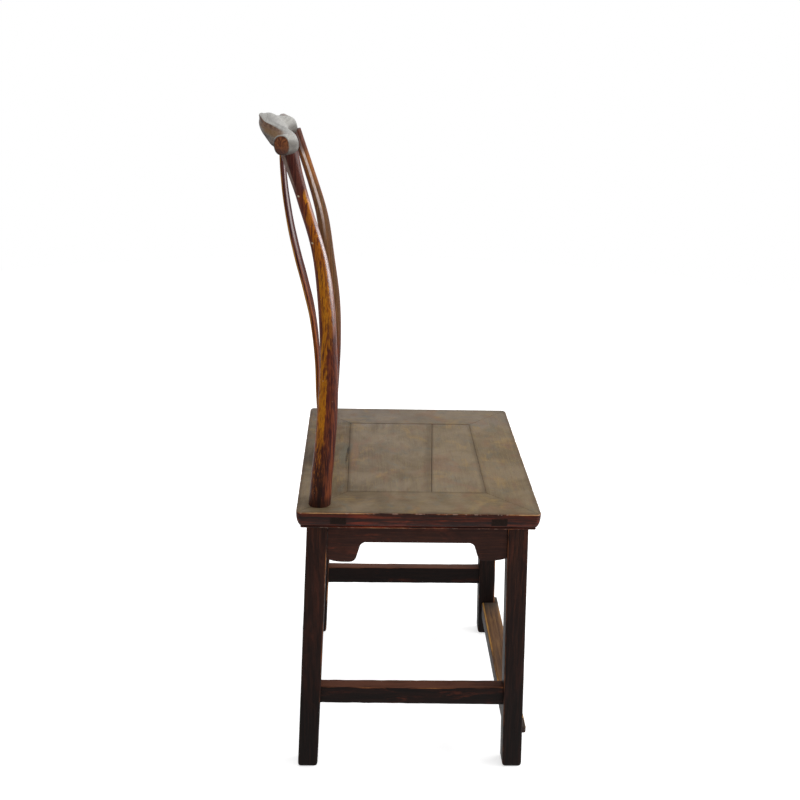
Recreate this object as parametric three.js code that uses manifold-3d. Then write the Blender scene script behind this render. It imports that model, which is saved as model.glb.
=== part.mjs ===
// Wooden side chair with a yoke-shaped crest rail, a curved splat, a framed and panelled seat,
// splayed legs that are tied by stretchers, and a low footrest between the front legs.
// Lengths are in millimetres. Z is up, the sitter faces -Y and the sitter's left is +X.
import * as THREE from 'three';
import { mergeVertices } from 'three/addons/utils/BufferGeometryUtils.js';
import Module from 'manifold-3d';

const wasm = await Module();
wasm.setup();

// Fits that every joint shares
const jointGap = 0.3;
const cutOverrun = 5;

// Corners nearer to each other than this are one corner of a solid
const weldDistance = 0.0003;

// Seat frame
const seatWidth = 480;
const seatDepth = 400;
const seatHeight = 509;
const seatRailWidth = 82;
const seatRailThickness = 31;
const seatEdgeLip = 5;
const seatEdgeUndercut = 9;
const seatArrisWear = 1.2;
const seatBeadHeight = 4;
const seatBeadDepth = 2.4;
const railTenonInset = 55.5;
const railTenonWidth = 26;
const railTenonHeight = 14;

// Seat panel and the battens below it
const panelThickness = 12;
const panelSeam = 0.5;
const panelTongueReach = 6.5;
const panelTongueHeight = 4;
const panelTongueDepth = 6;
const panelJointFromFront = 84;
const panelJointSkew = 20;
const battenSpacing = 170;
const battenWidth = 18;
const battenHeight = 11;
const battenKeyHeight = 4.5;
const battenKeyNeck = 11;
const battenKeyHead = 14;
const battenTenonWidth = 12;
const battenTenonHeight = 7;
const battenTenonReach = 9;

// Legs
const legInsetSide = 36;
const legInsetEnd = 35;
const legWidth = 34;
const legDepth = 35;
const legCornerRadius = 4;
const legFootWear = 3;
const sideSplayShare = 0.0237;
const endSplayShare = 0.0367;
const frontLegTenonSize = 16;
const frontLegTenonHeight = 20;

// Back posts, which run up from the rear legs
const postFootDiameter = 36;
const postRoot = 2;
const postTopDiameter = 20;
const postTopSpacing = 300;
const postLean = 54;
const backRacking = 9;
const postTenonDiameter = 10;
const postTenonRoot = 20;
const postTenonHeight = 10;
const postSetbackShares = [0, -0.146, -0.235, -0.245, -0.12, 0.08, 0.515, 1];
const postTaperShares = [1, 0.88, 0.8, 0.5, 0.16, 0.03, 0, 0];

// Crest rail
const crestHeight = 1080;
const crestOverhang = 74;
const crestPillowTall = 58;
const crestPillowThick = 36;
const crestPillowLeanDegrees = 45;
const crestPillowSetback = 26;
const crestPillowRise = 7;
const crestPillowRidge = 5;
const crestSkew = 10;
const crestDroop = 6;
const crestEndRounding = 2.5;
const crestStationShares = [0, 0.27, 0.49, 0.67, 0.85, 1];
const crestSetbackShares = [1, 0.88, 0.42, 0.09, 0.12, 0.43];
const crestRiseShares = [1, 0.48, 0.4, 0, 0.15, 0.45];
const crestTallShares = [1, 0.77, 0.56, 0.56, 0.52, 0.5];
const crestThickShares = [1, 0.95, 0.88, 0.84, 0.76, 0.66];
const crestLeanShares = [1, 0.9, 0.66, 0.34, 0.2, 0.16];
const crestRidgeShares = [1, 0.8, 0.45, 0.1, 0, 0];
const crestSquarenessShare = 0.84;

// Splat
const splatWidth = 86;
const splatThickness = 6;
const splatFootInset = 40;
const splatLean = 73;
const splatShoulder = 7;
const splatFootTenon = 15;
const splatTopTenon = 9;
const splatSetbackShares = [0, 0.12, 0.18, 0.21, 0.3, 0.48, 0.7, 0.87, 0.97, 1];

// Aprons below the seat, with a spandrel at each end
const apronThickness = 11;
const apronHeight = 33;
const apronRecess = 4;
const apronTongueThickness = 5;
const apronTongueReach = 8;
const apronTongueShoulder = 11;
const spandrelWidth = 48;
const spandrelHeight = 70;
const spandrelRunShares = [0, 0.25, 0.55, 0.85, 0.98, 1.04, 1.1, 1.16, 1.28];
const spandrelDropShares = [0.86, 0.96, 1, 0.98, 0.84, 0.62, 0.34, 0.12, 0];

// Stretchers
const stretcherThickness = 22;
const stretcherHeight = 33;
const stretcherArris = 3;
const stretcherTenonThickness = 10;
const stretcherTenonHeight = 22;
const stretcherTenonReach = 20;
const sideStretcherTop = 160;
const sideStretcherInset = 3;
const backStretcherTop = 216;

// Footrest and the apron under it
const footrestTop = 79.5;
const footrestThickness = 14;
const footrestEndInset = 9.2;
const footrestFrontReach = 8.5;
const footrestDepth = 36;
const footrestArris = 2.5;
const footrestCornerRadius = 7;
const footrestTenonThickness = 7;
const footrestTenonWidth = 18;
const footrestTenonReach = 14;
const footrestApronThickness = 10;
const footrestApronHeight = 15;
const footrestApronTongue = 7;

// Steps that round shapes are drawn with
const cornerSteps = 3;
const postCornerSteps = 5;
const postRings = 26;
const crestSides = 22;
const crestRings = 34;
const splatSteps = 22;
const edgeSteps = 5;
const pinSides = 16;

// Heights and places that follow from the sizes above
const seatUnderside = seatHeight - seatRailThickness;
const openingWidth = seatWidth - 2 * seatRailWidth;
const openingDepth = seatDepth - 2 * seatRailWidth;
const railTenonMiddle = seatHeight - seatRailThickness / 2 + jointGap;
const panelUnderside = seatHeight - panelThickness;

// A side is -1 for the sitter's right and 1 for the left, an end is -1 for the front and 1 for the back
const sides = [-1, 1];
const sideNames = { [-1]: 'right', [1]: 'left' };
const endNames = { [-1]: 'front', [1]: 'back' };

// Solids from geometry, and geometry from solids

function solidOf(geometry) {
  const bare = geometry.clone();
  bare.deleteAttribute('normal');
  bare.deleteAttribute('uv');
  const merged = mergeVertices(bare, weldDistance);
  const mesh = new wasm.Mesh({
    numProp: 3,
    vertProperties: new Float32Array(merged.attributes.position.array),
    triVerts: new Uint32Array(merged.index.array),
  });
  return new wasm.Manifold(mesh);
}

function geometryOf(solid) {
  const mesh = solid.getMesh();
  const geometry = new THREE.BufferGeometry();
  geometry.setAttribute('position', new THREE.BufferAttribute(mesh.vertProperties, 3));
  geometry.setIndex(new THREE.BufferAttribute(mesh.triVerts, 1));
  return geometry;
}

function join(...solids) {
  return solids.reduce((whole, solid) => whole.add(solid));
}

function cut(solid, ...tools) {
  return tools.reduce((rest, tool) => rest.subtract(tool), solid);
}

// A box by its centre and size, grown on every side by the clearance of the hole it fits
function block(centre, size, clearance = 0) {
  const geometry = new THREE.BoxGeometry(
    size.x + 2 * clearance, size.y + 2 * clearance, size.z + 2 * clearance);
  return solidOf(geometry.translate(centre.x, centre.y, centre.z));
}

// A plate whose outline lies in the plan and whose thickness is between two heights
function plate(outline, low, high) {
  const shape = new THREE.Shape(outline);
  const geometry = new THREE.ExtrudeGeometry(shape, { depth: high - low, bevelEnabled: false });
  return solidOf(geometry.translate(0, 0, low));
}

// A bar along X whose outline gives Y and Z, and the same bar along Y whose outline gives X and Z.
// The bar along X can be bent: every corner moves backwards by a function of its X and Z
function barAlongX(outline, left, right, bend = () => 0) {
  const shape = new THREE.Shape(outline);
  const geometry = new THREE.ExtrudeGeometry(shape, { depth: right - left, bevelEnabled: false });
  geometry.applyMatrix4(new THREE.Matrix4().makeBasis(
    new THREE.Vector3(0, 1, 0), new THREE.Vector3(0, 0, 1), new THREE.Vector3(1, 0, 0)));
  geometry.translate(left, 0, 0);
  const corners = geometry.attributes.position;
  for (let corner = 0; corner < corners.count; corner += 1) {
    const shift = bend(corners.getX(corner), corners.getZ(corner));
    corners.setY(corner, corners.getY(corner) + shift);
  }
  return solidOf(geometry);
}

function barAlongY(outline, front, back) {
  const shape = new THREE.Shape(outline.map((point) => new THREE.Vector2(-point.x, point.y)));
  const geometry = new THREE.ExtrudeGeometry(shape, { depth: back - front, bevelEnabled: false });
  geometry.applyMatrix4(new THREE.Matrix4().makeBasis(
    new THREE.Vector3(-1, 0, 0), new THREE.Vector3(0, 0, 1), new THREE.Vector3(0, 1, 0)));
  return solidOf(geometry.translate(0, front, 0));
}

function points2(pairs) {
  return pairs.map(([across, up]) => new THREE.Vector2(across, up));
}

// An outline that is the same on both sides of its middle, from the points of its right half
function mirrored(rightHalf) {
  const leftHalf = rightHalf.map(([across, up]) => [-across, up]).reverse();
  return points2([...leftHalf, ...rightHalf]);
}

// A closed skin over rings of equal count, each turning counter-clockwise seen from the last ring
function loft(rings) {
  const around = rings[0].length;
  const last = (rings.length - 1) * around;
  const faces = [];
  for (let ring = 0; ring < rings.length - 1; ring += 1) {
    for (let side = 0; side < around; side += 1) {
      const here = ring * around + side;
      const beside = ring * around + ((side + 1) % around);
      faces.push(here, beside, beside + around, here, beside + around, here + around);
    }
  }
  for (let side = 1; side < around - 1; side += 1) {
    faces.push(0, side + 1, side);
    faces.push(last, last + side, last + side + 1);
  }
  const geometry = new THREE.BufferGeometry().setFromPoints(rings.flat());
  geometry.setIndex(faces);
  return solidOf(geometry);
}

// The corners of a rectangle with round corners, which is a circle at the largest radius
function roundedOutline(halfWidth, halfDepth, radius, steps) {
  const outline = [];
  for (let corner = 0; corner < 4; corner += 1) {
    const turn = corner * Math.PI / 2;
    const toRight = corner === 0 || corner === 3 ? 1 : -1;
    const toBack = corner < 2 ? 1 : -1;
    for (let step = 0; step < steps; step += 1) {
      const angle = turn + (step + 0.5) / steps * Math.PI / 2;
      outline.push(new THREE.Vector2(
        toRight * (halfWidth - radius) + radius * Math.cos(angle),
        toBack * (halfDepth - radius) + radius * Math.sin(angle)));
    }
  }
  return outline;
}

function levelRing(centre, outline) {
  return outline.map((point) => new THREE.Vector3(centre.x + point.x, centre.y + point.y, centre.z));
}

// A ring square to a direction that points more or less upwards
function squareRing(centre, direction, outline) {
  const across = new THREE.Vector3(1, 0, 0).addScaledVector(direction, -direction.x).normalize();
  const along = new THREE.Vector3().crossVectors(direction, across);
  return outline.map((point) => centre.clone()
    .addScaledVector(across, point.x).addScaledVector(along, point.y));
}

// Legs

function legCentre(side, end, height) {
  const drop = seatHeight - height;
  return new THREE.Vector3(
    side * (seatWidth / 2 - legInsetSide + drop * sideSplayShare),
    end * (seatDepth / 2 - legInsetEnd + drop * endSplayShare),
    height);
}

function legBody(side, end, clearance = 0) {
  const outline = (wear) => roundedOutline(
    legWidth / 2 + clearance - wear, legDepth / 2 + clearance - wear, legCornerRadius, cornerSteps);
  const top = seatUnderside - jointGap;
  return loft([
    levelRing(legCentre(side, end, 0), outline(legFootWear)),
    levelRing(legCentre(side, end, legFootWear), outline(0)),
    levelRing(legCentre(side, end, top), outline(0)),
  ]);
}

function frontLegTenon(side, clearance = 0) {
  const size = new THREE.Vector3(frontLegTenonSize, frontLegTenonSize, 2 * frontLegTenonHeight);
  return block(legCentre(side, -1, seatUnderside), size, clearance);
}

// Back posts

const postRise = crestHeight - seatHeight;

// How far the back's twist sets a point backwards: the sitter's left side of it stands farther back
function rack(x, height) {
  return backRacking * x / postTopSpacing * (height - seatHeight) / postRise;
}

function postPath(side) {
  const seat = legCentre(side, 1, seatHeight);
  const last = postSetbackShares.length - 1;
  const points = postSetbackShares.map((setback, index) => {
    const x = THREE.MathUtils.lerp(seat.x, side * postTopSpacing / 2, index / last);
    const height = seatHeight + postRise * index / last;
    return new THREE.Vector3(x, seat.y + postLean * setback + rack(x, height), height);
  });
  return new THREE.CatmullRomCurve3([legCentre(side, 1, seatUnderside - postRoot), ...points]);
}

function postRadius(height) {
  const last = postTaperShares.length - 1;
  const place = THREE.MathUtils.clamp((height - seatHeight) / postRise, 0, 1) * last;
  const low = Math.min(Math.floor(place), last - 1);
  const taper = THREE.MathUtils.lerp(postTaperShares[low], postTaperShares[low + 1], place - low);
  return THREE.MathUtils.lerp(postTopDiameter / 2, postFootDiameter / 2, taper);
}

function postBody(side, clearance = 0) {
  const path = postPath(side);
  const rings = [];
  for (let ring = 0; ring <= postRings; ring += 1) {
    const share = ring / postRings;
    const centre = path.getPoint(share);
    const radius = postRadius(centre.z) + clearance;
    const outline = roundedOutline(radius, radius, radius, postCornerSteps);
    rings.push(squareRing(centre, path.getTangent(share), outline));
  }
  return loft(rings);
}

// A round pin along a direction, from a point to as far as its length
function pin(start, direction, length, diameter) {
  const geometry = new THREE.CylinderGeometry(diameter / 2, diameter / 2, length, pinSides);
  geometry.translate(0, length / 2, 0);
  const turn = new THREE.Quaternion().setFromUnitVectors(new THREE.Vector3(0, 1, 0), direction);
  geometry.applyQuaternion(turn);
  return solidOf(geometry.translate(start.x, start.y, start.z));
}

function postTenon(side, clearance = 0) {
  const path = postPath(side);
  const direction = path.getTangent(1);
  const start = path.getPoint(1).addScaledVector(direction, -postTenonRoot - clearance);
  const length = postTenonRoot + postTenonHeight + 2 * clearance;
  return pin(start, direction, length, postTenonDiameter + 2 * clearance);
}

// Crest rail

const postTop = postPath(1).getPoint(1);
const crestPlane = postTop.y - backRacking / 2;
const crestHalfLength = postTopSpacing / 2 + crestOverhang;

function crestCurves() {
  const half = crestStationShares.map((share, index) => ({
    x: share * crestHalfLength,
    y: crestPlane + crestSetbackShares[index] * crestPillowSetback,
    z: crestHeight + crestRiseShares[index] * crestPillowRise,
    tall: crestTallShares[index] * crestPillowTall,
    thick: crestThickShares[index] * crestPillowThick,
    lean: crestLeanShares[index] * crestPillowLeanDegrees,
    ridge: crestRidgeShares[index] * crestPillowRidge,
  }));
  const otherHalf = half.slice(1).reverse().map((station) => ({ ...station, x: -station.x }));
  const stations = [...otherHalf, ...half];
  const twist = (backRacking + crestSkew) / postTopSpacing;
  const slope = crestDroop / crestHalfLength / 2;
  const place = ({ x, y, z }) => new THREE.Vector3(x, y + twist * x, z - slope * x);
  return {
    centre: new THREE.CatmullRomCurve3(stations.map(place), false, 'catmullrom'),
    size: new THREE.CatmullRomCurve3(
      stations.map((station) => new THREE.Vector3(station.tall, station.thick, station.lean)),
      false, 'catmullrom'),
    ridge: new THREE.CatmullRomCurve3(
      stations.map((station) => new THREE.Vector3(station.x, 0, station.ridge)), false, 'catmullrom'),
  };
}

// A section of the rail: an oval with slightly squared sides that leans backwards at its top,
// where it is drawn out to a ridge
function crestRing(centre, size, ridge, shrink) {
  const lean = THREE.MathUtils.degToRad(size.z);
  const ring = [];
  for (let side = 0; side < crestSides; side += 1) {
    const angle = side / crestSides * 2 * Math.PI;
    const squared = (value) => Math.sign(value) * Math.abs(value) ** crestSquarenessShare;
    const drawnOut = side === 0 ? ridge : 0;
    const up = (size.x / 2 - shrink) * squared(Math.cos(angle)) + drawnOut;
    const back = (size.y / 2 - shrink) * squared(Math.sin(-angle));
    ring.push(new THREE.Vector3(
      centre.x,
      centre.y + back * Math.cos(lean) + up * Math.sin(lean),
      centre.z + up * Math.cos(lean) - back * Math.sin(lean)));
  }
  return ring;
}

function crestBody(clearance = 0) {
  const curves = crestCurves();
  const rings = [];
  for (let ring = 0; ring <= crestRings; ring += 1) {
    const share = ring / crestRings;
    const ridge = curves.ridge.getPoint(share).z;
    rings.push(crestRing(curves.centre.getPoint(share), curves.size.getPoint(share), ridge, -clearance));
  }
  const caps = sides.map((side) => {
    const share = (side + 1) / 2;
    const centre = curves.centre.getPoint(share);
    centre.x += side * (crestEndRounding + clearance);
    return crestRing(centre, curves.size.getPoint(share), 0, crestEndRounding - clearance);
  });
  return loft([caps[0], ...rings, caps[1]]);
}

// Splat: its side view is a thick line along a curve

const splatFoot = seatDepth / 2 - splatFootInset;

function splatPath() {
  const last = splatSetbackShares.length - 1;
  const points = splatSetbackShares.map((setback, index) => new THREE.Vector2(
    splatFoot + splatLean * setback,
    seatHeight + (crestHeight - seatHeight) * index / last));
  return new THREE.SplineCurve(points);
}

// The splat at a width, between two heights
function splatSlice(width, foot, top, clearance = 0) {
  const path = splatPath();
  const half = splatThickness / 2 + clearance;
  const front = [];
  const back = [];
  for (let step = 0; step <= splatSteps; step += 1) {
    const place = path.getPoint(step / splatSteps);
    const along = path.getTangent(step / splatSteps);
    const square = new THREE.Vector2(along.y, -along.x);
    front.push(place.clone().addScaledVector(square, -half));
    back.push(place.clone().addScaledVector(square, half));
  }
  const root = new THREE.Vector2(0, -splatFootTenon - cutOverrun);
  front.unshift(front[0].clone().add(root));
  back.unshift(back[0].clone().add(root));
  const reach = width / 2 + clearance;
  const whole = barAlongX([...front, ...back.reverse()], -reach, reach, rack);
  const keep = block(
    new THREE.Vector3(0, splatFoot, (foot + top) / 2),
    new THREE.Vector3(seatWidth, seatDepth, top - foot), clearance);
  return whole.intersect(keep);
}

function splatTenons(clearance = 0) {
  return splatSlice(splatWidth - 2 * splatShoulder, seatHeight - splatFootTenon,
    crestHeight - crestPillowThick / 2 + splatTopTenon, clearance);
}

// Seat frame: one moulded slab that the four mitred rails are cut from

function edgeProfile(halfSpan) {
  const beadTop = seatRailThickness - seatBeadHeight;
  const profile = [[seatArrisWear, 0], [0, seatArrisWear], [0, seatEdgeLip]];
  for (let step = 1; step <= edgeSteps; step += 1) {
    const angle = step / edgeSteps * Math.PI / 2;
    profile.push([
      seatEdgeUndercut * (1 - Math.cos(angle)),
      seatEdgeLip + (beadTop - seatEdgeLip) * Math.sin(angle)]);
  }
  profile.push(
    [seatEdgeUndercut - seatBeadDepth, beadTop + seatBeadHeight / 4],
    [seatEdgeUndercut - seatBeadDepth, beadTop + seatBeadHeight * 3 / 4],
    [seatEdgeUndercut, seatRailThickness]);
  return mirrored(profile.map(([inset, depth]) => [halfSpan - inset, seatHeight - depth]));
}

function mouldedSlab() {
  const alongX = barAlongX(edgeProfile(seatDepth / 2), -seatWidth, seatWidth);
  const alongY = barAlongY(edgeProfile(seatWidth / 2), -seatDepth, seatDepth);
  return alongX.intersect(alongY);
}

// The plan of a rail, from the outer edge to the panel opening, with both mitres
function mitredPlan(alongHalf, outward, railWidth, gap) {
  const outerReach = alongHalf + cutOverrun - gap;
  const innerReach = alongHalf - railWidth - gap;
  return [
    [-outerReach, outward + cutOverrun], [-innerReach, outward - railWidth],
    [innerReach, outward - railWidth], [outerReach, outward + cutOverrun],
  ];
}

function railTenon(side, end, clearance = 0) {
  const inner = seatWidth / 2 - seatRailWidth;
  const centre = new THREE.Vector3(
    side * (inner + seatWidth / 2) / 2,
    end * (seatDepth / 2 - railTenonInset - railTenonWidth / 2),
    railTenonMiddle);
  const size = new THREE.Vector3(seatRailWidth + 2 * cutOverrun, railTenonWidth, railTenonHeight);
  return block(centre, size, clearance);
}

const panelGroove = block(
  new THREE.Vector3(0, 0, seatHeight - panelTongueDepth - panelTongueHeight / 2),
  new THREE.Vector3(
    openingWidth + 2 * panelTongueReach, openingDepth + 2 * panelTongueReach, panelTongueHeight),
  jointGap);

function battenTenon(side, end, clearance = 0) {
  const centre = new THREE.Vector3(
    side * battenSpacing / 2,
    end * openingDepth / 2,
    panelUnderside - battenHeight / 2);
  const size = new THREE.Vector3(battenTenonWidth, 2 * battenTenonReach, battenTenonHeight);
  return block(centre, size, clearance);
}

function seatRails() {
  const slab = mouldedSlab();
  const low = seatUnderside - cutOverrun;
  const high = seatHeight + cutOverrun;
  const endPlan = mitredPlan(seatWidth / 2, seatDepth / 2, seatRailWidth, 0);
  const sidePlan = mitredPlan(seatDepth / 2, seatWidth / 2, seatRailWidth, jointGap * Math.SQRT2);
  const posts = sides.map((side) => postBody(side, jointGap));
  const rails = {};
  for (const end of sides) {
    const plan = points2(endPlan.map(([x, y]) => [x, end * y]));
    const tenons = sides.map((side) => railTenon(side, end));
    const region = join(plate(plan, low, high), ...tenons);
    const battens = sides.map((side) => battenTenon(side, end, jointGap));
    const legs = end < 0 ? sides.map((side) => frontLegTenon(side, jointGap)) : posts;
    const splatHole = end < 0 ? [] : [splatTenons(jointGap)];
    rails[endNames[end]] = cut(slab.intersect(region), panelGroove, ...battens, ...legs, ...splatHole);
  }
  for (const side of sides) {
    const plan = points2(sidePlan.map(([y, x]) => [side * x, y]));
    const tenons = sides.map((end) => railTenon(side, end, jointGap));
    rails[sideNames[side]] = cut(slab.intersect(plate(plan, low, high)), panelGroove, ...tenons,
      frontLegTenon(side, jointGap), ...posts);
  }
  return rails;
}

// Seat panel: two boards with a slanting joint, keyed to two battens

function battenOutline(side, clearance = 0) {
  const middle = side * battenSpacing / 2;
  const bodyTop = panelUnderside - jointGap;
  const keyTop = panelUnderside + battenKeyHeight + clearance;
  const half = [
    [battenKeyHead / 2 + clearance, keyTop], [battenKeyNeck / 2 + clearance, bodyTop],
    [battenWidth / 2, bodyTop], [battenWidth / 2, bodyTop - battenHeight]];
  return mirrored(half).map((point) => point.add(new THREE.Vector2(middle, 0)));
}

function batten(side) {
  const reach = openingDepth / 2 - panelSeam;
  return join(barAlongY(battenOutline(side), -reach, reach),
    battenTenon(side, -1), battenTenon(side, 1));
}

function battenSlot(side) {
  const reach = openingDepth / 2 + panelTongueReach + cutOverrun;
  return barAlongY(battenOutline(side, jointGap), -reach, reach);
}

function panelBoards() {
  const middle = (low, high) => new THREE.Vector3(0, 0, (low + high) / 2);
  const top = block(
    middle(panelUnderside, seatHeight),
    new THREE.Vector3(openingWidth - 2 * panelSeam, openingDepth - 2 * panelSeam, panelThickness));
  const tongueTop = seatHeight - panelTongueDepth;
  const tongue = block(
    middle(tongueTop - panelTongueHeight, tongueTop),
    new THREE.Vector3(
      openingWidth + 2 * panelTongueReach - 2 * panelSeam,
      openingDepth + 2 * panelTongueReach - 2 * panelSeam, panelTongueHeight));
  const panel = cut(join(top, tongue), battenSlot(-1), battenSlot(1));
  const joint = -openingDepth / 2 + panelJointFromFront;
  const half = seatWidth / 2;
  const slant = panelJointSkew / openingWidth * half;
  const frontPlan = points2([
    [-half, -half], [half, -half], [half, joint - slant - jointGap / 2],
    [-half, joint + slant - jointGap / 2]]);
  const backPlan = points2([
    [-half, joint + slant + jointGap / 2], [half, joint - slant + jointGap / 2],
    [half, half], [-half, half]]);
  const low = seatUnderside;
  const high = seatHeight + cutOverrun;
  return {
    front: panel.intersect(plate(frontPlan, low, high)),
    back: panel.intersect(plate(backPlan, low, high)),
  };
}

// Aprons: the outline is drawn along the length of the board and its height

function apronOutline(halfSpan, halfBoard) {
  const top = seatUnderside - jointGap;
  const arch = top - apronHeight;
  const drop = spandrelHeight - apronHeight;
  const run = spandrelRunShares.map((share, index) => [
    halfSpan - spandrelWidth * share, arch - drop * spandrelDropShares[index]]);
  return mirrored([[halfBoard, top], [halfBoard, run[0][1]], ...run]);
}

function apronTongue(alongX, outward, side, innerFace, clearance = 0) {
  const top = seatUnderside - apronTongueShoulder;
  const low = seatUnderside - spandrelHeight + apronTongueShoulder;
  const length = 2 * apronTongueReach;
  const along = side * innerFace;
  const centre = alongX
    ? new THREE.Vector3(along, outward, (top + low) / 2)
    : new THREE.Vector3(outward, along, (top + low) / 2);
  const size = alongX
    ? new THREE.Vector3(length, apronTongueThickness, top - low)
    : new THREE.Vector3(apronTongueThickness, length, top - low);
  return block(centre, size, clearance);
}

const apronLevel = seatUnderside - spandrelHeight / 2;
const apronLeg = legCentre(1, 1, apronLevel);
const sideApron = {
  middle: apronLeg.x + legWidth / 2 - apronRecess - apronThickness / 2,
  innerFace: apronLeg.y - legDepth / 2,
};
const endApron = {
  middle: apronLeg.y + legDepth / 2 - apronRecess - apronThickness / 2,
  innerFace: apronLeg.x - legWidth / 2,
};

function apron(alongX, sign, legs) {
  const place = alongX ? endApron : sideApron;
  const halfBoard = place.innerFace + (alongX ? legWidth : legDepth) / 2;
  const outline = apronOutline(place.innerFace, halfBoard);
  const low = sign * place.middle - apronThickness / 2;
  const high = sign * place.middle + apronThickness / 2;
  const bar = alongX ? barAlongY(outline, low, high) : barAlongX(outline, low, high);
  const tongues = [-1, 1].map((end) => apronTongue(
    alongX, sign * place.middle, end, place.innerFace));
  return join(cut(bar, ...legs), ...tongues);
}

// Stretchers

function stretcher(alongX, middle, top, innerFace, legs) {
  const height = top - stretcherHeight / 2;
  const outline = roundedOutline(
    stretcherThickness / 2, stretcherHeight / 2, stretcherArris, cornerSteps)
    .map((point) => point.add(new THREE.Vector2(middle, height)));
  const half = innerFace + legDepth / 2;
  const bar = alongX ? barAlongX(outline, -half, half) : barAlongY(outline, -half, half);
  const tenons = [-1, 1].map((end) => stretcherTenon(alongX, middle, height, end, innerFace));
  return join(cut(bar, ...legs), ...tenons);
}

function stretcherTenon(alongX, middle, height, end, innerFace, clearance = 0) {
  const along = end * innerFace;
  const length = 2 * stretcherTenonReach;
  const centre = alongX
    ? new THREE.Vector3(along, middle, height)
    : new THREE.Vector3(middle, along, height);
  const size = alongX
    ? new THREE.Vector3(length, stretcherTenonThickness, stretcherTenonHeight)
    : new THREE.Vector3(stretcherTenonThickness, length, stretcherTenonHeight);
  return block(centre, size, clearance);
}

const sideStretcherHeight = sideStretcherTop - stretcherHeight / 2;
const sideStretcherLeg = legCentre(1, 1, sideStretcherHeight);
const sideStretcherMiddle = sideStretcherLeg.x - sideStretcherInset;
const sideStretcherInnerFace = sideStretcherLeg.y - legDepth / 2;
const backStretcherHeight = backStretcherTop - stretcherHeight / 2;
const backStretcherLeg = legCentre(1, 1, backStretcherHeight);
const backStretcherInnerFace = backStretcherLeg.x - legWidth / 2;

// Footrest: a board notched round the front legs, with a thin apron under its back edge

const footrestLeg = legCentre(1, -1, footrestTop);
const footrestFront = footrestLeg.y - legDepth / 2 - footrestFrontReach;
const footrestBack = footrestFront + footrestDepth;
const footrestInnerFace = footrestLeg.x - legWidth / 2;
const footrestHalfLength = footrestLeg.x + legWidth / 2 - footrestEndInset;

function footrestTenon(side, clearance = 0) {
  const centre = new THREE.Vector3(
    side * footrestInnerFace, footrestLeg.y, footrestTop - footrestThickness / 2);
  const size = new THREE.Vector3(
    2 * footrestTenonReach, footrestTenonWidth, footrestTenonThickness);
  return block(centre, size, clearance);
}

function footrestBoard(legs) {
  const middle = (footrestFront + footrestBack) / 2;
  const plan = roundedOutline(
    footrestHalfLength, footrestDepth / 2, footrestCornerRadius, cornerSteps)
    .map((point) => point.add(new THREE.Vector2(0, middle)));
  const low = footrestTop - footrestThickness;
  const sideView = roundedOutline(
    footrestDepth / 2, footrestThickness / 2, footrestArris, cornerSteps)
    .map((point) => point.add(new THREE.Vector2(middle, footrestTop - footrestThickness / 2)));
  const half = footrestHalfLength + cutOverrun;
  const board = plate(plan, low, footrestTop).intersect(barAlongX(sideView, -half, half));
  return join(cut(board, ...legs), footrestTenon(-1), footrestTenon(1));
}

const footrestApronTop = footrestTop - footrestThickness - jointGap;

function footrestApronTongueBlock(side, clearance = 0) {
  const centre = new THREE.Vector3(
    side * footrestInnerFace,
    footrestBack - footrestApronThickness / 2,
    footrestApronTop - footrestApronHeight / 2);
  const size = new THREE.Vector3(
    2 * footrestApronTongue, footrestApronThickness / 2, footrestApronHeight / 2);
  return block(centre, size, clearance);
}

function footrestApron(legs) {
  const centre = new THREE.Vector3(
    0, footrestBack - footrestApronThickness / 2, footrestApronTop - footrestApronHeight / 2);
  const size = new THREE.Vector3(
    2 * footrestInnerFace + legWidth, footrestApronThickness, footrestApronHeight);
  return join(cut(block(centre, size), ...legs),
    footrestApronTongueBlock(-1), footrestApronTongueBlock(1));
}

// Legs with every mortise that meets them

function legMortises(side, end) {
  const mortises = [
    apronTongue(false, side * sideApron.middle, end, sideApron.innerFace, jointGap),
    apronTongue(true, end * endApron.middle, side, endApron.innerFace, jointGap),
    stretcherTenon(false, side * sideStretcherMiddle, sideStretcherHeight, end,
      sideStretcherInnerFace, jointGap),
  ];
  if (end > 0) {
    mortises.push(stretcherTenon(true, backStretcherLeg.y, backStretcherHeight, side,
      backStretcherInnerFace, jointGap));
  } else {
    mortises.push(footrestTenon(side, jointGap), footrestApronTongueBlock(side, jointGap));
  }
  return mortises;
}

function frontLeg(side) {
  const whole = join(legBody(side, -1), frontLegTenon(side));
  return cut(whole, ...legMortises(side, -1));
}

function rearLegPost(side) {
  const post = cut(join(legBody(side, 1), postBody(side)), crestBody(jointGap));
  return cut(join(post, postTenon(side)), ...legMortises(side, 1));
}

// Finishes

function wood(colour, roughness) {
  return () => new THREE.MeshStandardMaterial({ color: colour, roughness, metalness: 0 });
}

const darkWood = wood(0x3b2521, 0.45);
const amberWood = wood(0x8a5a22, 0.35);
const plumWood = wood(0x4a2c28, 0.38);
const crestWood = wood(0x7b6b5c, 0.4);
const seatWood = wood(0x80705a, 0.5);
const footrestWood = wood(0x6e5032, 0.55);

// Assembly: each piece's geometry is kept about its own anchor, where the mesh is placed

function piece(name, solid, finish, anchor) {
  const geometry = geometryOf(solid);
  geometry.translate(-anchor.x, -anchor.y, -anchor.z);
  const mesh = new THREE.Mesh(geometry, finish());
  mesh.name = name;
  mesh.position.copy(anchor);
  return mesh;
}

const clearLegs = sides.flatMap((side) => [
  legBody(side, -1, jointGap), legBody(side, 1, jointGap), postBody(side, jointGap)]);

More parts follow.
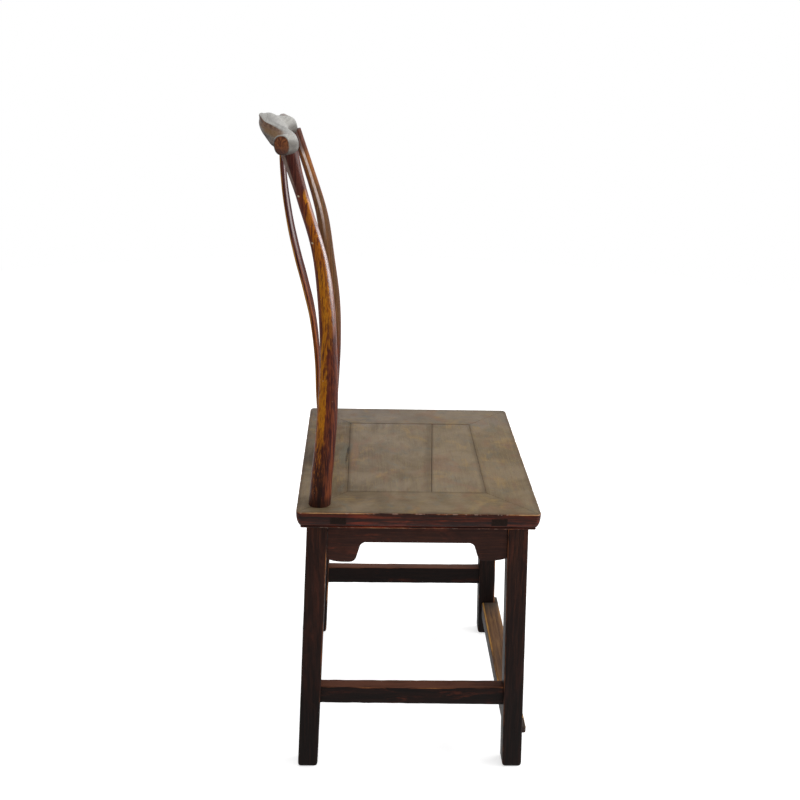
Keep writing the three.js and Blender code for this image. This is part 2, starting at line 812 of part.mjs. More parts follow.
const base = new THREE.Group();
for (const side of sides) {
  const name = sideNames[side];
  base.add(piece(`front_leg_${name}`, frontLeg(side), darkWood, legCentre(side, -1, 0)));
  base.add(piece(`rear_leg_post_${name}`, rearLegPost(side), amberWood, legCentre(side, 1, 0)));
  base.add(piece(`apron_${name}`, apron(false, side, clearLegs), darkWood,
    new THREE.Vector3(side * sideApron.middle, 0, seatUnderside)));
  base.add(piece(`side_stretcher_${name}`,
    stretcher(false, side * sideStretcherMiddle, sideStretcherTop, sideStretcherInnerFace, clearLegs),
    darkWood, new THREE.Vector3(side * sideStretcherMiddle, 0, sideStretcherHeight)));
}
for (const end of sides) {
  base.add(piece(`apron_${endNames[end]}`, apron(true, end, clearLegs), darkWood,
    new THREE.Vector3(0, end * endApron.middle, seatUnderside)));
}
base.add(piece('back_stretcher',
  stretcher(true, backStretcherLeg.y, backStretcherTop, backStretcherInnerFace, clearLegs),
  darkWood, new THREE.Vector3(0, backStretcherLeg.y, backStretcherHeight)));
base.add(piece('footrest', footrestBoard(clearLegs), footrestWood,
  new THREE.Vector3(0, footrestFront, footrestTop)));
base.add(piece('footrest_apron', footrestApron(clearLegs), darkWood,
  new THREE.Vector3(0, footrestBack, footrestTop - footrestThickness)));

const seat = new THREE.Group();
seat.position.z = seatHeight;
const onSeat = (x, y) => new THREE.Vector3(x, y, seatHeight);

function seatPiece(name, solid, finish, anchor) {
  const mesh = piece(name, solid, finish, anchor);
  mesh.position.z -= seatHeight;
  seat.add(mesh);
}

const rails = seatRails();
const boards = panelBoards();
for (const end of sides) {
  const name = endNames[end];
  seatPiece(`seat_rail_${name}`, rails[name], seatWood, onSeat(0, end * seatDepth / 2));
}
for (const side of sides) {
  const name = sideNames[side];
  seatPiece(`seat_rail_${name}`, rails[name], seatWood, onSeat(side * seatWidth / 2, 0));
  seatPiece(`seat_batten_${name}`, batten(side), darkWood, onSeat(side * battenSpacing / 2, 0));
}
seatPiece('seat_board_front', boards.front, seatWood, onSeat(0, -openingDepth / 2));
seatPiece('seat_board_back', boards.back, seatWood, onSeat(0, openingDepth / 2));

const back = new THREE.Group();
const splatBody = splatSlice(splatWidth, seatHeight + jointGap, crestHeight);
const splat = join(cut(splatBody, crestBody(jointGap)), splatTenons());
const crest = cut(crestBody(), splatTenons(jointGap), ...sides.map((side) => postTenon(side, jointGap)));
back.add(piece('splat', splat, plumWood, new THREE.Vector3(0, splatFoot, seatHeight)));
back.add(piece('crest_rail', crest, crestWood, new THREE.Vector3(0, crestPlane, crestHeight)));

// The chair stands on Z = 0 with the middle of its bounding box over the origin
const chair = new THREE.Group();
chair.add(base, seat, back);
chair.updateMatrixWorld(true);
const bounds = new THREE.Box3().setFromObject(chair, true);
chair.position.y = -(bounds.min.y + bounds.max.y) / 2;

export default chair;
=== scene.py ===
from math import cos, pi, radians, sin

import bmesh
import bpy
from mathutils import Matrix, Vector, noise


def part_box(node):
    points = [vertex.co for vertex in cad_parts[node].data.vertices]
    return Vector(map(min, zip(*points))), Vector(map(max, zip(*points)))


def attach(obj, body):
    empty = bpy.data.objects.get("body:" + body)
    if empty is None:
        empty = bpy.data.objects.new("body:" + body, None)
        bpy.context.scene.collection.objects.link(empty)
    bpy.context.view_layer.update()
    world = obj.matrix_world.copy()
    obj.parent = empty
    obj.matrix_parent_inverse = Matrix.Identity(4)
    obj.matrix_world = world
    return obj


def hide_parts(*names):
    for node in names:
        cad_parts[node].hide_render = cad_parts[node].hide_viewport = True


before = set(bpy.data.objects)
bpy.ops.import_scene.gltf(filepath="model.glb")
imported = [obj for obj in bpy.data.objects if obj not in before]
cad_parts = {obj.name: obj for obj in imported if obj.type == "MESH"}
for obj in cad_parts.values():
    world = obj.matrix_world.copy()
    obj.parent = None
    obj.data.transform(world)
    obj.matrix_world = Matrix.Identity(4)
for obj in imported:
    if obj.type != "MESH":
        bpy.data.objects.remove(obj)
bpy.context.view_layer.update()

mm = 0.001

# Sizes of the chair, as in the part's own source

joint_gap = 0.3 * mm
seat_width, seat_depth, seat_height = 480 * mm, 400 * mm, 509 * mm
rail_width, rail_thickness = 82 * mm, 31 * mm
edge_lip, edge_undercut = 5 * mm, 9 * mm
bead_height, bead_depth = 4 * mm, 2.4 * mm
rail_tenon_inset, rail_tenon_width, rail_tenon_height = 55.5 * mm, 26 * mm, 14 * mm
board_thickness, board_joint, board_joint_slope = 12 * mm, 84 * mm, 20 / 316
leg_inset_side, leg_inset_end = 36 * mm, 35 * mm
leg_width, leg_depth = 34 * mm, 35 * mm
side_splay, end_splay = 0.0237, 0.0367
post_foot, post_top, post_spacing, post_lean = 18 * mm, 10 * mm, 150 * mm, 54 * mm
back_racking = 9 / 300
crest_height, crest_half, crest_setback, crest_rise = 1080 * mm, 224 * mm, 26 * mm, 7 * mm
crest_tall, crest_thick, crest_lean, crest_ridge = 58 * mm, 36 * mm, radians(45), 5 * mm
splat_width, splat_thickness, splat_inset, splat_lean = 86 * mm, 6 * mm, 40 * mm, 73 * mm
apron_thickness, apron_height, apron_recess = 11 * mm, 33 * mm, 4 * mm
spandrel_width, spandrel_height = 48 * mm, 70 * mm
stretcher_thickness, stretcher_height, stretcher_inset = 22 * mm, 33 * mm, 3 * mm
side_stretcher_top, back_stretcher_top = 160 * mm, 216 * mm
footrest_top, footrest_thickness, footrest_depth = 79.5 * mm, 14 * mm, 36 * mm
footrest_reach, footrest_end_inset = 8.5 * mm, 9.2 * mm

underside = seat_height - rail_thickness
rise = crest_height - seat_height
middle_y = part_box("seat_rail_front")[0][1] + seat_depth / 2
sides = {"right": -1, "left": 1}
ends = {"front": -1, "back": 1}


# Curves and points

def along(values, share):
    """The value at a share of the way through a row of values, on a smooth curve."""
    place = min(max(share, 0), 1) * (len(values) - 1)
    step = min(int(place), len(values) - 2)
    u = place - step
    here, there = values[step], values[step + 1]
    before = values[step - 1] if step else here * 2 - there
    after = values[step + 2] if step + 2 < len(values) else there * 2 - here
    return ((here * 2) + (there - before) * u + (before * 2 - here * 5 + there * 4 - after) * u ** 2
            + (here * 3 - before - there * 3 + after) * u ** 3) * 0.5


def shares(count):
    """Even shares from 0 to 1."""
    return [step / count for step in range(count + 1)]


def blend(low, high, share):
    return low + (high - low) * share


def ease(low, high, value):
    """0 below low, 1 above high, and a smooth step between."""
    share = min(max((value - low) / (high - low), 0), 1)
    return share * share * (3 - 2 * share)


def signed_power(value, power):
    return abs(value) ** power * (1 if value >= 0 else -1)


ring_points = 48


def section(half_width, half_depth, squareness):
    """Points of an oval, worn square as squareness rises from 2, each with how far it is a corner."""
    points = []
    for step in range(ring_points):
        turn = (step + 0.5) / ring_points * 2 * pi
        corner = abs(sin(2 * turn)) ** 3 * ease(2, 6, squareness)
        points.append((half_width * signed_power(cos(turn), 2 / squareness),
                       half_depth * signed_power(sin(turn), 2 / squareness), corner))
    return points


even = (1, 1, 1)


def unevenness(point, size, stretch, seed):
    """Soft noise from about -1 to 1, with bumps of a size, drawn out along X, Y and Z unless it is even."""
    place = Vector([point[axis] / (size * stretch[axis]) for axis in range(3)])
    return noise.noise(place + Vector((seed * 7.3, seed * 3.1, seed * 5.7)))


def rubbed_corner(corner, usual, spread, point, size, stretch, seed):
    """How worn a corner is, from 0 to 1: its usual wear, made uneven by a spread."""
    return max(0, min(1, corner * (usual + spread * unevenness(point, size, stretch, seed))))


# Objects and meshes

def new_object(name, data):
    """An object in the scene for a mesh, curve, lamp or camera."""
    made = bpy.data.objects.new(name, data)
    bpy.context.scene.collection.objects.link(made)
    return made


def finish_mesh(name, mesh, material, nodes, crease=40):
    """Makes a mesh a piece of the chair: normals outwards, edges over an angle kept crisp."""
    work = bmesh.new()
    work.from_mesh(mesh)
    bmesh.ops.recalc_face_normals(work, faces=work.faces)
    for face in work.faces:
        face.smooth = True
    for edge in work.edges:
        edge.smooth = not (edge.is_manifold and edge.calc_face_angle(0) > radians(crease))
    work.to_mesh(mesh)
    work.free()
    mesh.materials.clear()
    mesh.materials.append(material)
    piece = new_object(name, mesh)
    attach(piece, "root")
    if nodes:
        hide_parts(*nodes)


def make(name, rings, material, nodes, crease=40):
    """A piece lofted over rings of (point, wear, grime) and closed at both ends."""
    spots = [spot for ring in rings for spot in ring]
    count = len(rings[0])
    faces = []
    for start in range(0, len(spots) - count, count):
        for side in range(count):
            here, beside = start + side, start + (side + 1) % count
            faces.append((here, beside, beside + count, here + count))
    faces.append(tuple(range(count)))
    faces.append(tuple(range(len(spots) - count, len(spots))))
    mesh = bpy.data.meshes.new(name)
    mesh.from_pydata([tuple(point) for point, wear, grime in spots], [], faces)
    mesh.update()
    for place, layer in ((1, "wear"), (2, "grime")):
        values = [spot[place] for spot in spots]
        mesh.attributes.new(layer, "FLOAT", "POINT").data.foreach_set("value", values)
    finish_mesh(name, mesh, material, nodes, crease)


# Node trees: a Value is a socket that can be added, multiplied and so on in Python

class Value:
    def __init__(self, network, socket):
        self.network, self.socket = network, socket

    def maths(self, operation, *numbers):
        return self.network.node("ShaderNodeMath", {"operation": operation}, dict(enumerate(numbers)))

    def __add__(self, other):
        return self.maths("ADD", self, other)

    def __sub__(self, other):
        return self.maths("SUBTRACT", self, other)

    def __rsub__(self, other):
        return self.maths("SUBTRACT", other, self)

    def __mul__(self, other):
        return self.maths("MULTIPLY", self, other)

    def __truediv__(self, other):
        return self.maths("DIVIDE", self, other)

    def __pow__(self, other):
        return self.maths("POWER", self, other)

    def __neg__(self):
        return self * -1

    def __abs__(self):
        return self.maths("ABSOLUTE", self)

    __radd__, __rmul__ = __add__, __mul__

    def step(self, low, high):
        """0 below low, 1 above high, and a smooth step between."""
        return self.network.node("ShaderNodeMapRange", {"interpolation_type": "SMOOTHSTEP"},
                                 {"Value": self, "From Min": low, "From Max": high})

    def fall(self, low, high):
        """1 below low, 0 above high, and a smooth step between."""
        return 1 - self.step(low, high)

    def near(self, middle, width):
        """1 where the value is the middle, down to 0 a width away from it."""
        return abs((self - middle) * (1 / width)).fall(0.35, 1)

    def paints(self, low, high, dark, light):
        """A dark paint where the value is below low, running to a light one above high."""
        return self.network.mix(self.step(low, high), dark, light)

    def tinted(self, share, paint):
        """This colour with a share of another one over it."""
        return self.network.mix(share, self, paint)


class Network:
    """A node tree, built node by node."""

    def __init__(self, tree):
        self.tree = tree
        tree.nodes.clear()

    def node(self, kind, settings=None, sockets=None, output=0):
        made = self.tree.nodes.new(kind)
        for key, value in (settings or {}).items():
            setattr(made, key, value)
        for key, value in (sockets or {}).items():
            if isinstance(value, Value):
                self.tree.links.new(value.socket, made.inputs[key])
            else:
                made.inputs[key].default_value = value
        return Value(self, made.outputs[output]) if made.outputs else None

    def axes(self, vector):
        """The X, Y and Z of a vector."""
        return [self.node("ShaderNodeSeparateXYZ", None, {0: vector}, axis) for axis in "XYZ"]

    def seen(self):
        """1 for rays from the camera, off a polished face or through glass, else 0."""
        camera, glossy, through = [self.node("ShaderNodeLightPath", output=f"Is {kind} Ray")
                                   for kind in ("Camera", "Glossy", "Transmission")]
        return camera + glossy + through


def tone(paint):
    """A colour written as on a paint card, as linear light with alpha; a socket stays as it is."""
    if isinstance(paint, Value):
        return paint
    parts = [int(paint[place:place + 2], 16) / 255 for place in (0, 2, 4)]
    return tuple(part / 12.92 if part <= 0.04045 else ((part + 0.055) / 1.055) ** 2.4
                 for part in parts) + (1.0,)


class Finish(Network):
    """A material, with patterns on the chair's own X, Y and Z."""

    def __init__(self, name):
        self.material = bpy.data.materials.new(name)
        self.material.use_nodes = True
        super().__init__(self.material.node_tree)
        self.place = self.node("ShaderNodeTexCoord", output="Object")

    def noise(self, scale, stretch=even, detail=3, roughness=0.55, twist=0, at=(0, 0, 0)):
        place = self.node("ShaderNodeMapping", None, {
            "Vector": self.place, "Scale": stretch, "Location": at})
        return self.node("ShaderNodeTexNoise", None, {
            "Vector": place, "Scale": scale, "Detail": detail, "Roughness": roughness,
            "Distortion": twist})

    def mix(self, share, low, high):
        return self.node("ShaderNodeMix", {"data_type": "RGBA"},
                         {0: share, 6: tone(low), 7: tone(high)}, output=2)

    def attribute(self, name):
        return self.node("ShaderNodeAttribute", {"attribute_name": name}, output="Fac")


across_grain = {"X": (0.045, 1, 1), "Y": (1, 0.045, 1), "Z": (1, 1, 0.045)}


class Wood(Finish):
    """A finish with the patterns that all the wood draws on, along one grain direction."""

    def __init__(self, name, grain):
        super().__init__(name)
        stretch = across_grain[grain]
        short = tuple(part ** 0.5 for part in stretch)
        self.streak = self.noise(240, stretch, 5, 0.62, 0.4, at=(2, 7, 4))
        self.fibre = self.noise(700, stretch, 4, 0.65)
        self.pores = self.noise(1300, stretch, 2, 0.5, at=(3, 5, 7)).step(0.58, 0.7)
        self.blotch = self.noise(34, short, 5, 0.62, 0.8, at=(9, 4, 2))
        self.cloud = self.noise(9, even, 4, 0.6, at=(1, 2, 3))
        self.scuffs = self.noise(110, short, 5, 0.7, at=(2, 8, 5))
        self.dents = self.noise(48, even, 3, 0.5, at=(5, 1, 8))
        self.ragged = self.blotch - 0.5
        self.wear, self.grime = self.attribute("wear"), self.attribute("grime")
        self.x, self.y, self.height = self.axes(self.place)
        normal = self.node("ShaderNodeNewGeometry", output="Normal")
        self.sideways, self.backward, self.upward = self.axes(normal)

    def outward(self, middle):
        """How far a face looks away from the chair's middle plane, turned round over a strip there."""
        return self.sideways * (self.x.step(-middle, middle) * 2 - 1)

    def ground(self, dark, middle, light):
        """The ground colour: streaks from dark to middle, and light lines among them."""
        lines = (self.fibre * 0.55 + self.streak * 0.35 + self.cloud * 0.35).step(0.6, 0.82)
        return self.streak.paints(0.36, 0.64, dark, middle).tinted(lines * 0.8, light)

    def pored(self, colour, dark, share):
        return colour.tinted(self.pores * share, dark)

    def rubbed(self, colour, amount, worn, bare):
        """Edges rubbed to a worn colour, and to bare wood where they are rubbed most."""
        touch = self.wear * (self.blotch.step(0.35, 0.62) * 0.45 + 0.5) + self.scuffs * 0.7
        colour = colour.tinted(touch.step(1.08 - amount, 1.34 - amount) * 0.9, worn)
        return colour.tinted(touch.step(1.3 - amount, 1.5 - amount) * 0.85, bare)

    def grimed(self, colour, dirt, share):
        return colour.tinted((self.grime * (self.cloud * 0.9 + 0.55)).step(0.1, 0.9) * share, dirt)

    def surface(self, colour, roughness, depth, sheen, polish=0.0, polish_roughness=0.2):
        """The material: a colour on uneven wood, matt unless it is polished."""
        gloss = self.cloud * 0.3 + self.fibre * 0.16 + (roughness - 0.23) + self.grime * 0.12
        relief = self.fibre * 0.35 + self.dents * 0.9 - self.pores * 0.3 + self.streak * 0.3
        bump = self.node("ShaderNodeBump", None, {"Height": relief, "Distance": depth}, "Normal")
        shader = self.node("ShaderNodeBsdfPrincipled", None, {
            "Base Color": colour, "Roughness": gloss, "Normal": bump, "Coat Weight": polish,
            "Coat Roughness": polish_roughness, "Specular IOR Level": sheen})
        self.node("ShaderNodeOutputMaterial", None, {"Surface": shader})
        return self.material


# Dark lacquer of the legs, stretchers and aprons

def dark_colour(wood, amount):
    """Nearly black lacquer over red-brown wood, darkest near the floor, with edges rubbed by an amount."""
    colour = wood.ground("211411", "2d1c17", "4a2a1d")
    colour = colour.tinted(wood.blotch.step(0.5, 0.68) * 0.7, "4c291f")
    low = (wood.height + wood.ragged * 0.2).fall(0.1, 0.46)
    colour = colour.tinted(low * 0.92, wood.streak.paints(0.4, 0.7, "110d0c", "1e1412"))
    return wood.rubbed(wood.pored(colour, "140d0a", 0.5), amount, "74452a", "b8824a")


def dark_lacquer(grain):
    """Legs have an upright grain; what lies between them is patchier, and trodden on top."""
    wood = Wood("dark_lacquer_" + grain, grain)
    colour = dark_colour(wood, 0.3 if grain == "Z" else 0.22)
    if grain != "Z":
        high = wood.height.step(0.3, 0.4)
        colour = colour.tinted(high * 0.07, "7a4c42")
        patches = (wood.cloud * 0.7 + wood.blotch * 0.4).step(0.52, 0.68)
        colour = colour.tinted(patches * 0.55, "1d1311")
        reddish = (wood.blotch * 0.6 + wood.scuffs * 0.5).step(0.58, 0.7) * (1 - patches)
        colour = colour.tinted(reddish * 0.5, "6a3526")
        colour = colour.tinted(wood.x.step(0.1, 0.15) * (1 - high) * 0.5, "16100f")
        trodden = wood.upward.step(0.5, 0.9) * (wood.streak * 0.6 + wood.cloud * 0.9).step(0.45, 0.8)
        colour = colour.tinted(trodden * 0.75, "6e4636")
    return wood.surface(wood.grimed(colour, "15100e", 0.75), 0.5, 0.25 * mm, 0.06)


# Amber lacquer of the back posts

class PostWood(Wood):
    """The posts' own patterns: bands and threads along the grain, and the sides of a post."""

    def __init__(self):
        super().__init__("amber_lacquer", "Z")
        self.bands = self.noise(330, (1, 1, 0.03), 5, 0.65, 0.3, at=(3, 1, 6))
        self.thread = self.noise(820, (1, 1, 0.03), 4, 0.6, at=(5, 2, 2))
        self.out = self.outward(10 * mm)
        self.left_post = self.x.step(-10 * mm, 10 * mm)
        self.inner = (-self.out + self.ragged * 0.4).step(0.1, 0.45) * self.height.step(0.62, 0.72)

    def strands(self, bands, threads):
        """The bands and the threads together, by a share of each."""
        return self.bands * bands + self.thread * threads


def post_gold(post):
    """How far the wood is rubbed golden, at the back low down and all round higher up, and its paint."""
    height, backward = post.height, post.backward
    gold = post.strands(0.5, 0.5).paints(0.38, 0.6, "925012", "c07d1a")
    gold = gold.tinted(height.step(0.88, 0.91) * height.fall(0.98, 1) * 0.55, "8a4418")
    low = backward.near(0.52, 0.62) * (height + post.ragged * 0.1).step(0.53, 0.7) * height.fall(0.745, 0.8)
    high = backward.near(0.02, 0.8) * height.step(0.745, 0.8) * height.fall(0.96, 0.99)
    top = backward.near(-0.46, 0.5) * height.step(0.96, 0.99)
    top = top * (height + post.ragged * 0.03).fall(1.008, 1.02)
    golden = (low + high + top) * post.out.step(-0.35, 0.05)
    golden = golden * 1.1 + (post.bands - 0.5) * 1.3 + post.ragged * 0.3 + (post.thread - 0.5) * 0.8
    return golden.step(0.38, 0.66) * height.step(0.56, 0.66), gold


def post_inner_side(post):
    """Brown on the side to the splat, with painted shade towards its front and a painted highlight line up
    to the crest rail.
    """
    colour = post.bands.paints(0.38, 0.62, "5c3d26", "88623f")
    # Painted shade: the side is darker where it turns to the front.
    colour = colour.tinted((-post.backward).step(0.2, 0.75) * 0.75, "3a2a12")
    colour = colour.tinted(post.height.step(0.96, 1) * 0.55, "96591c")
    # Painted highlight: a pale line up the middle of the side, where the gloss would mirror a light.
    highlight_line = post.backward.near(-0.07, 0.22) * post.height.step(0.86, 0.97)
    return colour.tinted(highlight_line * (post.thread * 0.4 + 0.95), "e6d2c8")


def post_top_colour(post, colour):
    """Plum at the back under the crest rail, and nearly black right under it."""
    height = post.height
    plum = (post.backward + post.ragged * 0.9 + post.bands * 0.3).step(0.45, 0.8) * height.step(0.9, 0.97)
    colour = colour.tinted(plum * 0.8, post.bands.paints(0.4, 0.6, "4a2a28", "73443a"))
    top = (height + post.ragged * 0.03 - post.left_post * 0.025 + 0.008).step(1.008, 1.03)
    return colour.tinted(top * 0.85, post.bands.paints(0.35, 0.65, "331b19", "5a342d"))


def post_marks(post, colour):
    """Pale chips, two of them each at its own place, a painted reflection, a brown band and a painted front
    highlight.
    """
    height, backward, out = post.height, post.backward, post.out
    chips = post.noise(210, even, 2, 0.4, at=(6, 6, 1)).step(0.765, 0.775)
    colour = colour.tinted(chips * 0.7, "c4ab8c")
    for level, around in ((1.0045, 0.42), (0.9345, 0.5)):
        chip = height.near(level, 1.9 * mm) * backward.near(around, 0.22) * out.step(0.2, 0.5)
        colour = colour.tinted(chip * (1 - post.left_post), "c9b79c")
    # Painted reflection: a pale grey patch high on the back of the post's outer side, standing in for the
    # gloss mirroring white surroundings.
    pale_reflection = backward.near(0.62, 0.3) * (height + post.ragged * 0.03).near(1.045, 0.035)
    colour = colour.tinted(pale_reflection * out.step(0.1, 0.5) * 0.7, "968479")
    band = backward.near(-0.27, 0.2) * height.near(0.88, 0.05) * out.step(0.2, 0.5)
    colour = colour.tinted(band * (0.35 + post.bands * 0.5), "4c2318")
    # Painted highlight: pale lilac down the front of the post's outer side, standing in for the window's
    # reflection in the gloss.
    painted_highlight = (-backward).step(0.5, 0.88) * out.step(-0.1, 0.3) * height.step(0.83, 0.93)
    painted_highlight = painted_highlight * (1 - height.step(0.945, 0.98) * 0.7) * height.fall(0.995, 1.015)
    return colour.tinted(painted_highlight * 0.75, "b5a3a4")


def post_threads(post, colour):
    """Dark threads and long streaks, maroon on the front side low down, and golden threads behind it."""
    height, outer = post.height, 1 - post.inner
    thin = post.strands(0.5, 0.5).step(0.52, 0.58) * height.step(0.6, 0.72)
    colour = colour.tinted(thin * 0.62 * (1 - height.step(0.82, 0.9) * 0.3), "4c2018")
    long_streak = post.noise(420, (1, 1, 0.012), 3, 0.6, at=(7, 4, 3)).step(0.55, 0.62)
    long_streak = long_streak * (post.bands * 0.8 + post.scuffs * 0.6).step(0.54, 0.72)
    colour = colour.tinted(long_streak * height.step(0.55, 0.62) * outer * 0.75, "431a17")
    maroon = (-post.backward + post.ragged * 0.8).step(-0.15, 0.35) * height.step(0.5, 0.53)
    maroon = maroon * (height + post.ragged * 0.06).fall(0.79, 0.85) * outer
    colour = colour.tinted(maroon * 0.75, post.strands(0.6, 0.4).paints(0.44, 0.62, "2c1214", "6e3820"))
    golden = post.strands(0.4, 0.6).step(0.54, 0.6) * post.backward.near(0.45, 0.6) * post.out.step(0, 0.4)
    return colour.tinted(golden * height.fall(0.64, 0.72) * height.step(0.52, 0.56) * 0.8, "a5651f")


def post_finish():
    """Amber where hands have rubbed the post, dark streaks low down, and the dark lacquer on its leg."""
    post = PostWood()
    height = post.height
    colour = post.bands.paints(0.38, 0.6, "401c17", "7c3f22")
    colour = colour.tinted(post.strands(0.4, 0.6).step(0.5, 0.66) * 0.8, "995626")
    low = (height + post.ragged * 0.1 + post.backward * 0.05).fall(0.56, 0.69)
    colour = colour.tinted(low * 0.85, post.strands(0.5, 0.5).paints(0.42, 0.64, "2a1712", "5a301c"))
    colour = colour.tinted(*post_gold(post))
    drips = post.noise(300, (1, 1, 0.07), 2, 0.5, at=(1, 8, 4)).step(0.575, 0.61)
    colour = colour.tinted(drips * height.step(0.56, 0.66) * 0.75, "4e1d1a")
    colour = colour.tinted(post.inner * 0.9, post_inner_side(post))
    colour = post.pored(post_top_colour(post, colour), "20100b", 0.5)
    colour = post_threads(post, post_marks(post, colour))
    leg = height.fall(0.4765, 0.4785)
    colour = colour.tinted(leg, dark_colour(post, 0.3))
    colour = colour.tinted(post.grime.step(0.1, 0.9) * (1 - leg) * 0.6, "1f100b")
    crack = post.backward.near(0.02, 0.16) * post.out.step(0, 0.5) * (1 - leg)
    crack = crack * (height + post.ragged * 0.03).fall(0.53, 0.575)
    colour = colour.tinted(crack * 0.85, "1a0e0b")
    polish = (-post.backward).step(0.35, 0.7) * height.step(0.74, 0.92) * post.out.step(-0.1, 0.3)
    polish = polish * (1 - height.step(0.94, 0.97) * 0.6) * (1 - height.step(0.995, 1.02) * 0.6)
    return post.surface(colour, 0.45, 0.3 * mm, 0.06, polish, 0.16)


# Lacquers of the splat and the crest rail

def splat_finish():
    """Plum with a golden worn back edge, redder low down, and a polished line up its front."""
    wood = Wood("plum_lacquer", "Z")
    height, shift = wood.height + wood.ragged * 0.1, wood.ragged * 6 * mm
    front = (-wood.backward).step(0.5, 0.9)
    pale = front * (wood.x + shift).near(-17 * mm, 24 * mm)
    far_half = (wood.x + shift * 3).step(-30 * mm, -12 * mm)
    colour = wood.ground("34191a", "54302c", "7a4a3a")
    colour = colour.tinted(height.fall(0.74, 0.9) * 0.8, wood.streak.paints(0.35, 0.65, "481f15", "874b22"))
    for share, dark_streak, light_streak in (
            (front * (1 - pale) * height.step(0.8, 0.92) * 0.75, "241518", "3c2527"),
            (front * far_half * height.fall(0.9, 0.97) * 0.8, "241210", "4a2219"),
            (front * (1 - far_half) * height.fall(0.86, 0.94) * 0.5, "57240f", "8a4c1c")):
        colour = colour.tinted(share, wood.streak.paints(0.4, 0.6, dark_streak, light_streak))
    colour = wood.rubbed(wood.pored(colour, "1a0e0c", 0.5), 0.38, "a8702c", "d0a065")
    back_edge = wood.wear.step(0.5, 0.9) * (1 - front) * (wood.height + shift).fall(0.99, 1.015)
    colour = colour.tinted(back_edge * 0.7, wood.streak.paints(0.4, 0.6, "7c4a20", "b07c34"))
    return wood.surface(colour, 0.66, 0.3 * mm, 0.02, pale * height.step(0.8, 0.94) * 0.75, 0.22)


def crest_finish():
    """Pale grey on top, partly worn smooth and partly painted sheen, painted shade below and in front,
    brown in the hollows, orange-brown end grain.
    """
    wood = Wood("crest_lacquer", "X")
    height, ragged, upward, backward = wood.height, wood.ragged, wood.upward, wood.backward
    from_middle, outward = abs(wood.x), wood.outward(4 * mm)
    colour = wood.ground("48403a", "5f564c", "736a5e")
    # Painted sheen: the upward faces are paler grey, partly worn lacquer and partly standing in for the
    # gloss's reflection.
    top = (upward + ragged * 0.5).step(0.05, 0.5)
    colour = colour.tinted(top, wood.streak.paints(0.35, 0.65, "6e6b66", "86847d"))
    # Painted shade: the faces that look down are darker.
    under = (-upward + ragged * 0.5).step(0.15, 0.6)
    colour = colour.tinted(under * 0.9, "302420")
    hollow = (outward + upward * 0.36 + ragged * 0.12).step(0.14, 0.4) * (backward + 0.6).step(0, 0.4)
    hollow = hollow * (upward + ragged * 0.2 - from_middle * 2.5).fall(0.3, 0.65)
    hollow = hollow * from_middle.fall(0.185, 0.21)
    golden = (height + (wood.streak - 0.5) * 0.03).near(1.088, 0.009)
    warm = wood.streak.paints(0.36, 0.64, "553a2e", "80614b").tinted(golden * 0.6, "907048")
    warm = warm.tinted((height + ragged * 0.01).fall(1.062, 1.078) * 0.75, "948378")
    colour = colour.tinted(hollow * 0.9, warm)
    shaded = (-backward + ragged * 0.3).step(0.35, 0.9) * (upward + ragged * 0.3).fall(0.1, 0.6)
    colour = colour.tinted(shaded * (1 - hollow) * 0.7, "4a4844")
    tip = from_middle.step(0.19, 0.212) * wood.x.step(0, 0.1) * (upward + ragged * 0.4).step(0.7, 0.95)
    colour = colour.tinted(tip * 0.7, "6a4e44")
    end_face = outward.step(0.86, 0.97) * from_middle.step(0.2222, 0.2242)
    grain_end = wood.noise(120, (0.2, 1, 0.6), 4, 0.6, 2.5).paints(0.35, 0.65, "4e2a1c", "835030")
    grain_end = grain_end.tinted((height + ragged * 0.012).fall(1.074, 1.088) * 0.8, "43302e")
    colour = wood.pored(colour.tinted(end_face, grain_end), "2c1d16", 0.3)
    colour = wood.rubbed(colour, 0.1, "8f8574", "b0a590")
    polish = top * (1 - hollow) * (1 - end_face) * 0.5 + 0.02
    return wood.surface(colour, 0.42 + (under + hollow) * 0.35, 0.35 * mm, 0.08, polish, 0.3)


# Finishes of the seat and the footrest

crack_half_length, crack_y, crack_slope = 43 * mm, 88.5 * mm, 0.06


def seat_crack(wood, colour):
    """A short dark crack in the panel, with a grey halo round it and rust in front of it."""
    length = (wood.x * (1 / crack_half_length)) ** 2
    width = wood.y - crack_y + wood.x * crack_slope + (wood.scuffs - 0.5) * 0.006
    halo = (length + width ** 2 * 5200).fall(0.3, 2.2)
    colour = colour.tinted(halo * 0.45, "565c50")
    rust = (length * 0.5 + (width + 12 * mm) ** 2 * 14000).fall(0.2, 1.4)
    colour = colour.tinted(rust * 0.35, "80502e")
    return colour.tinted((length + width ** 2 * 130000).fall(0.5, 1.1) * 0.85, "1d1814")


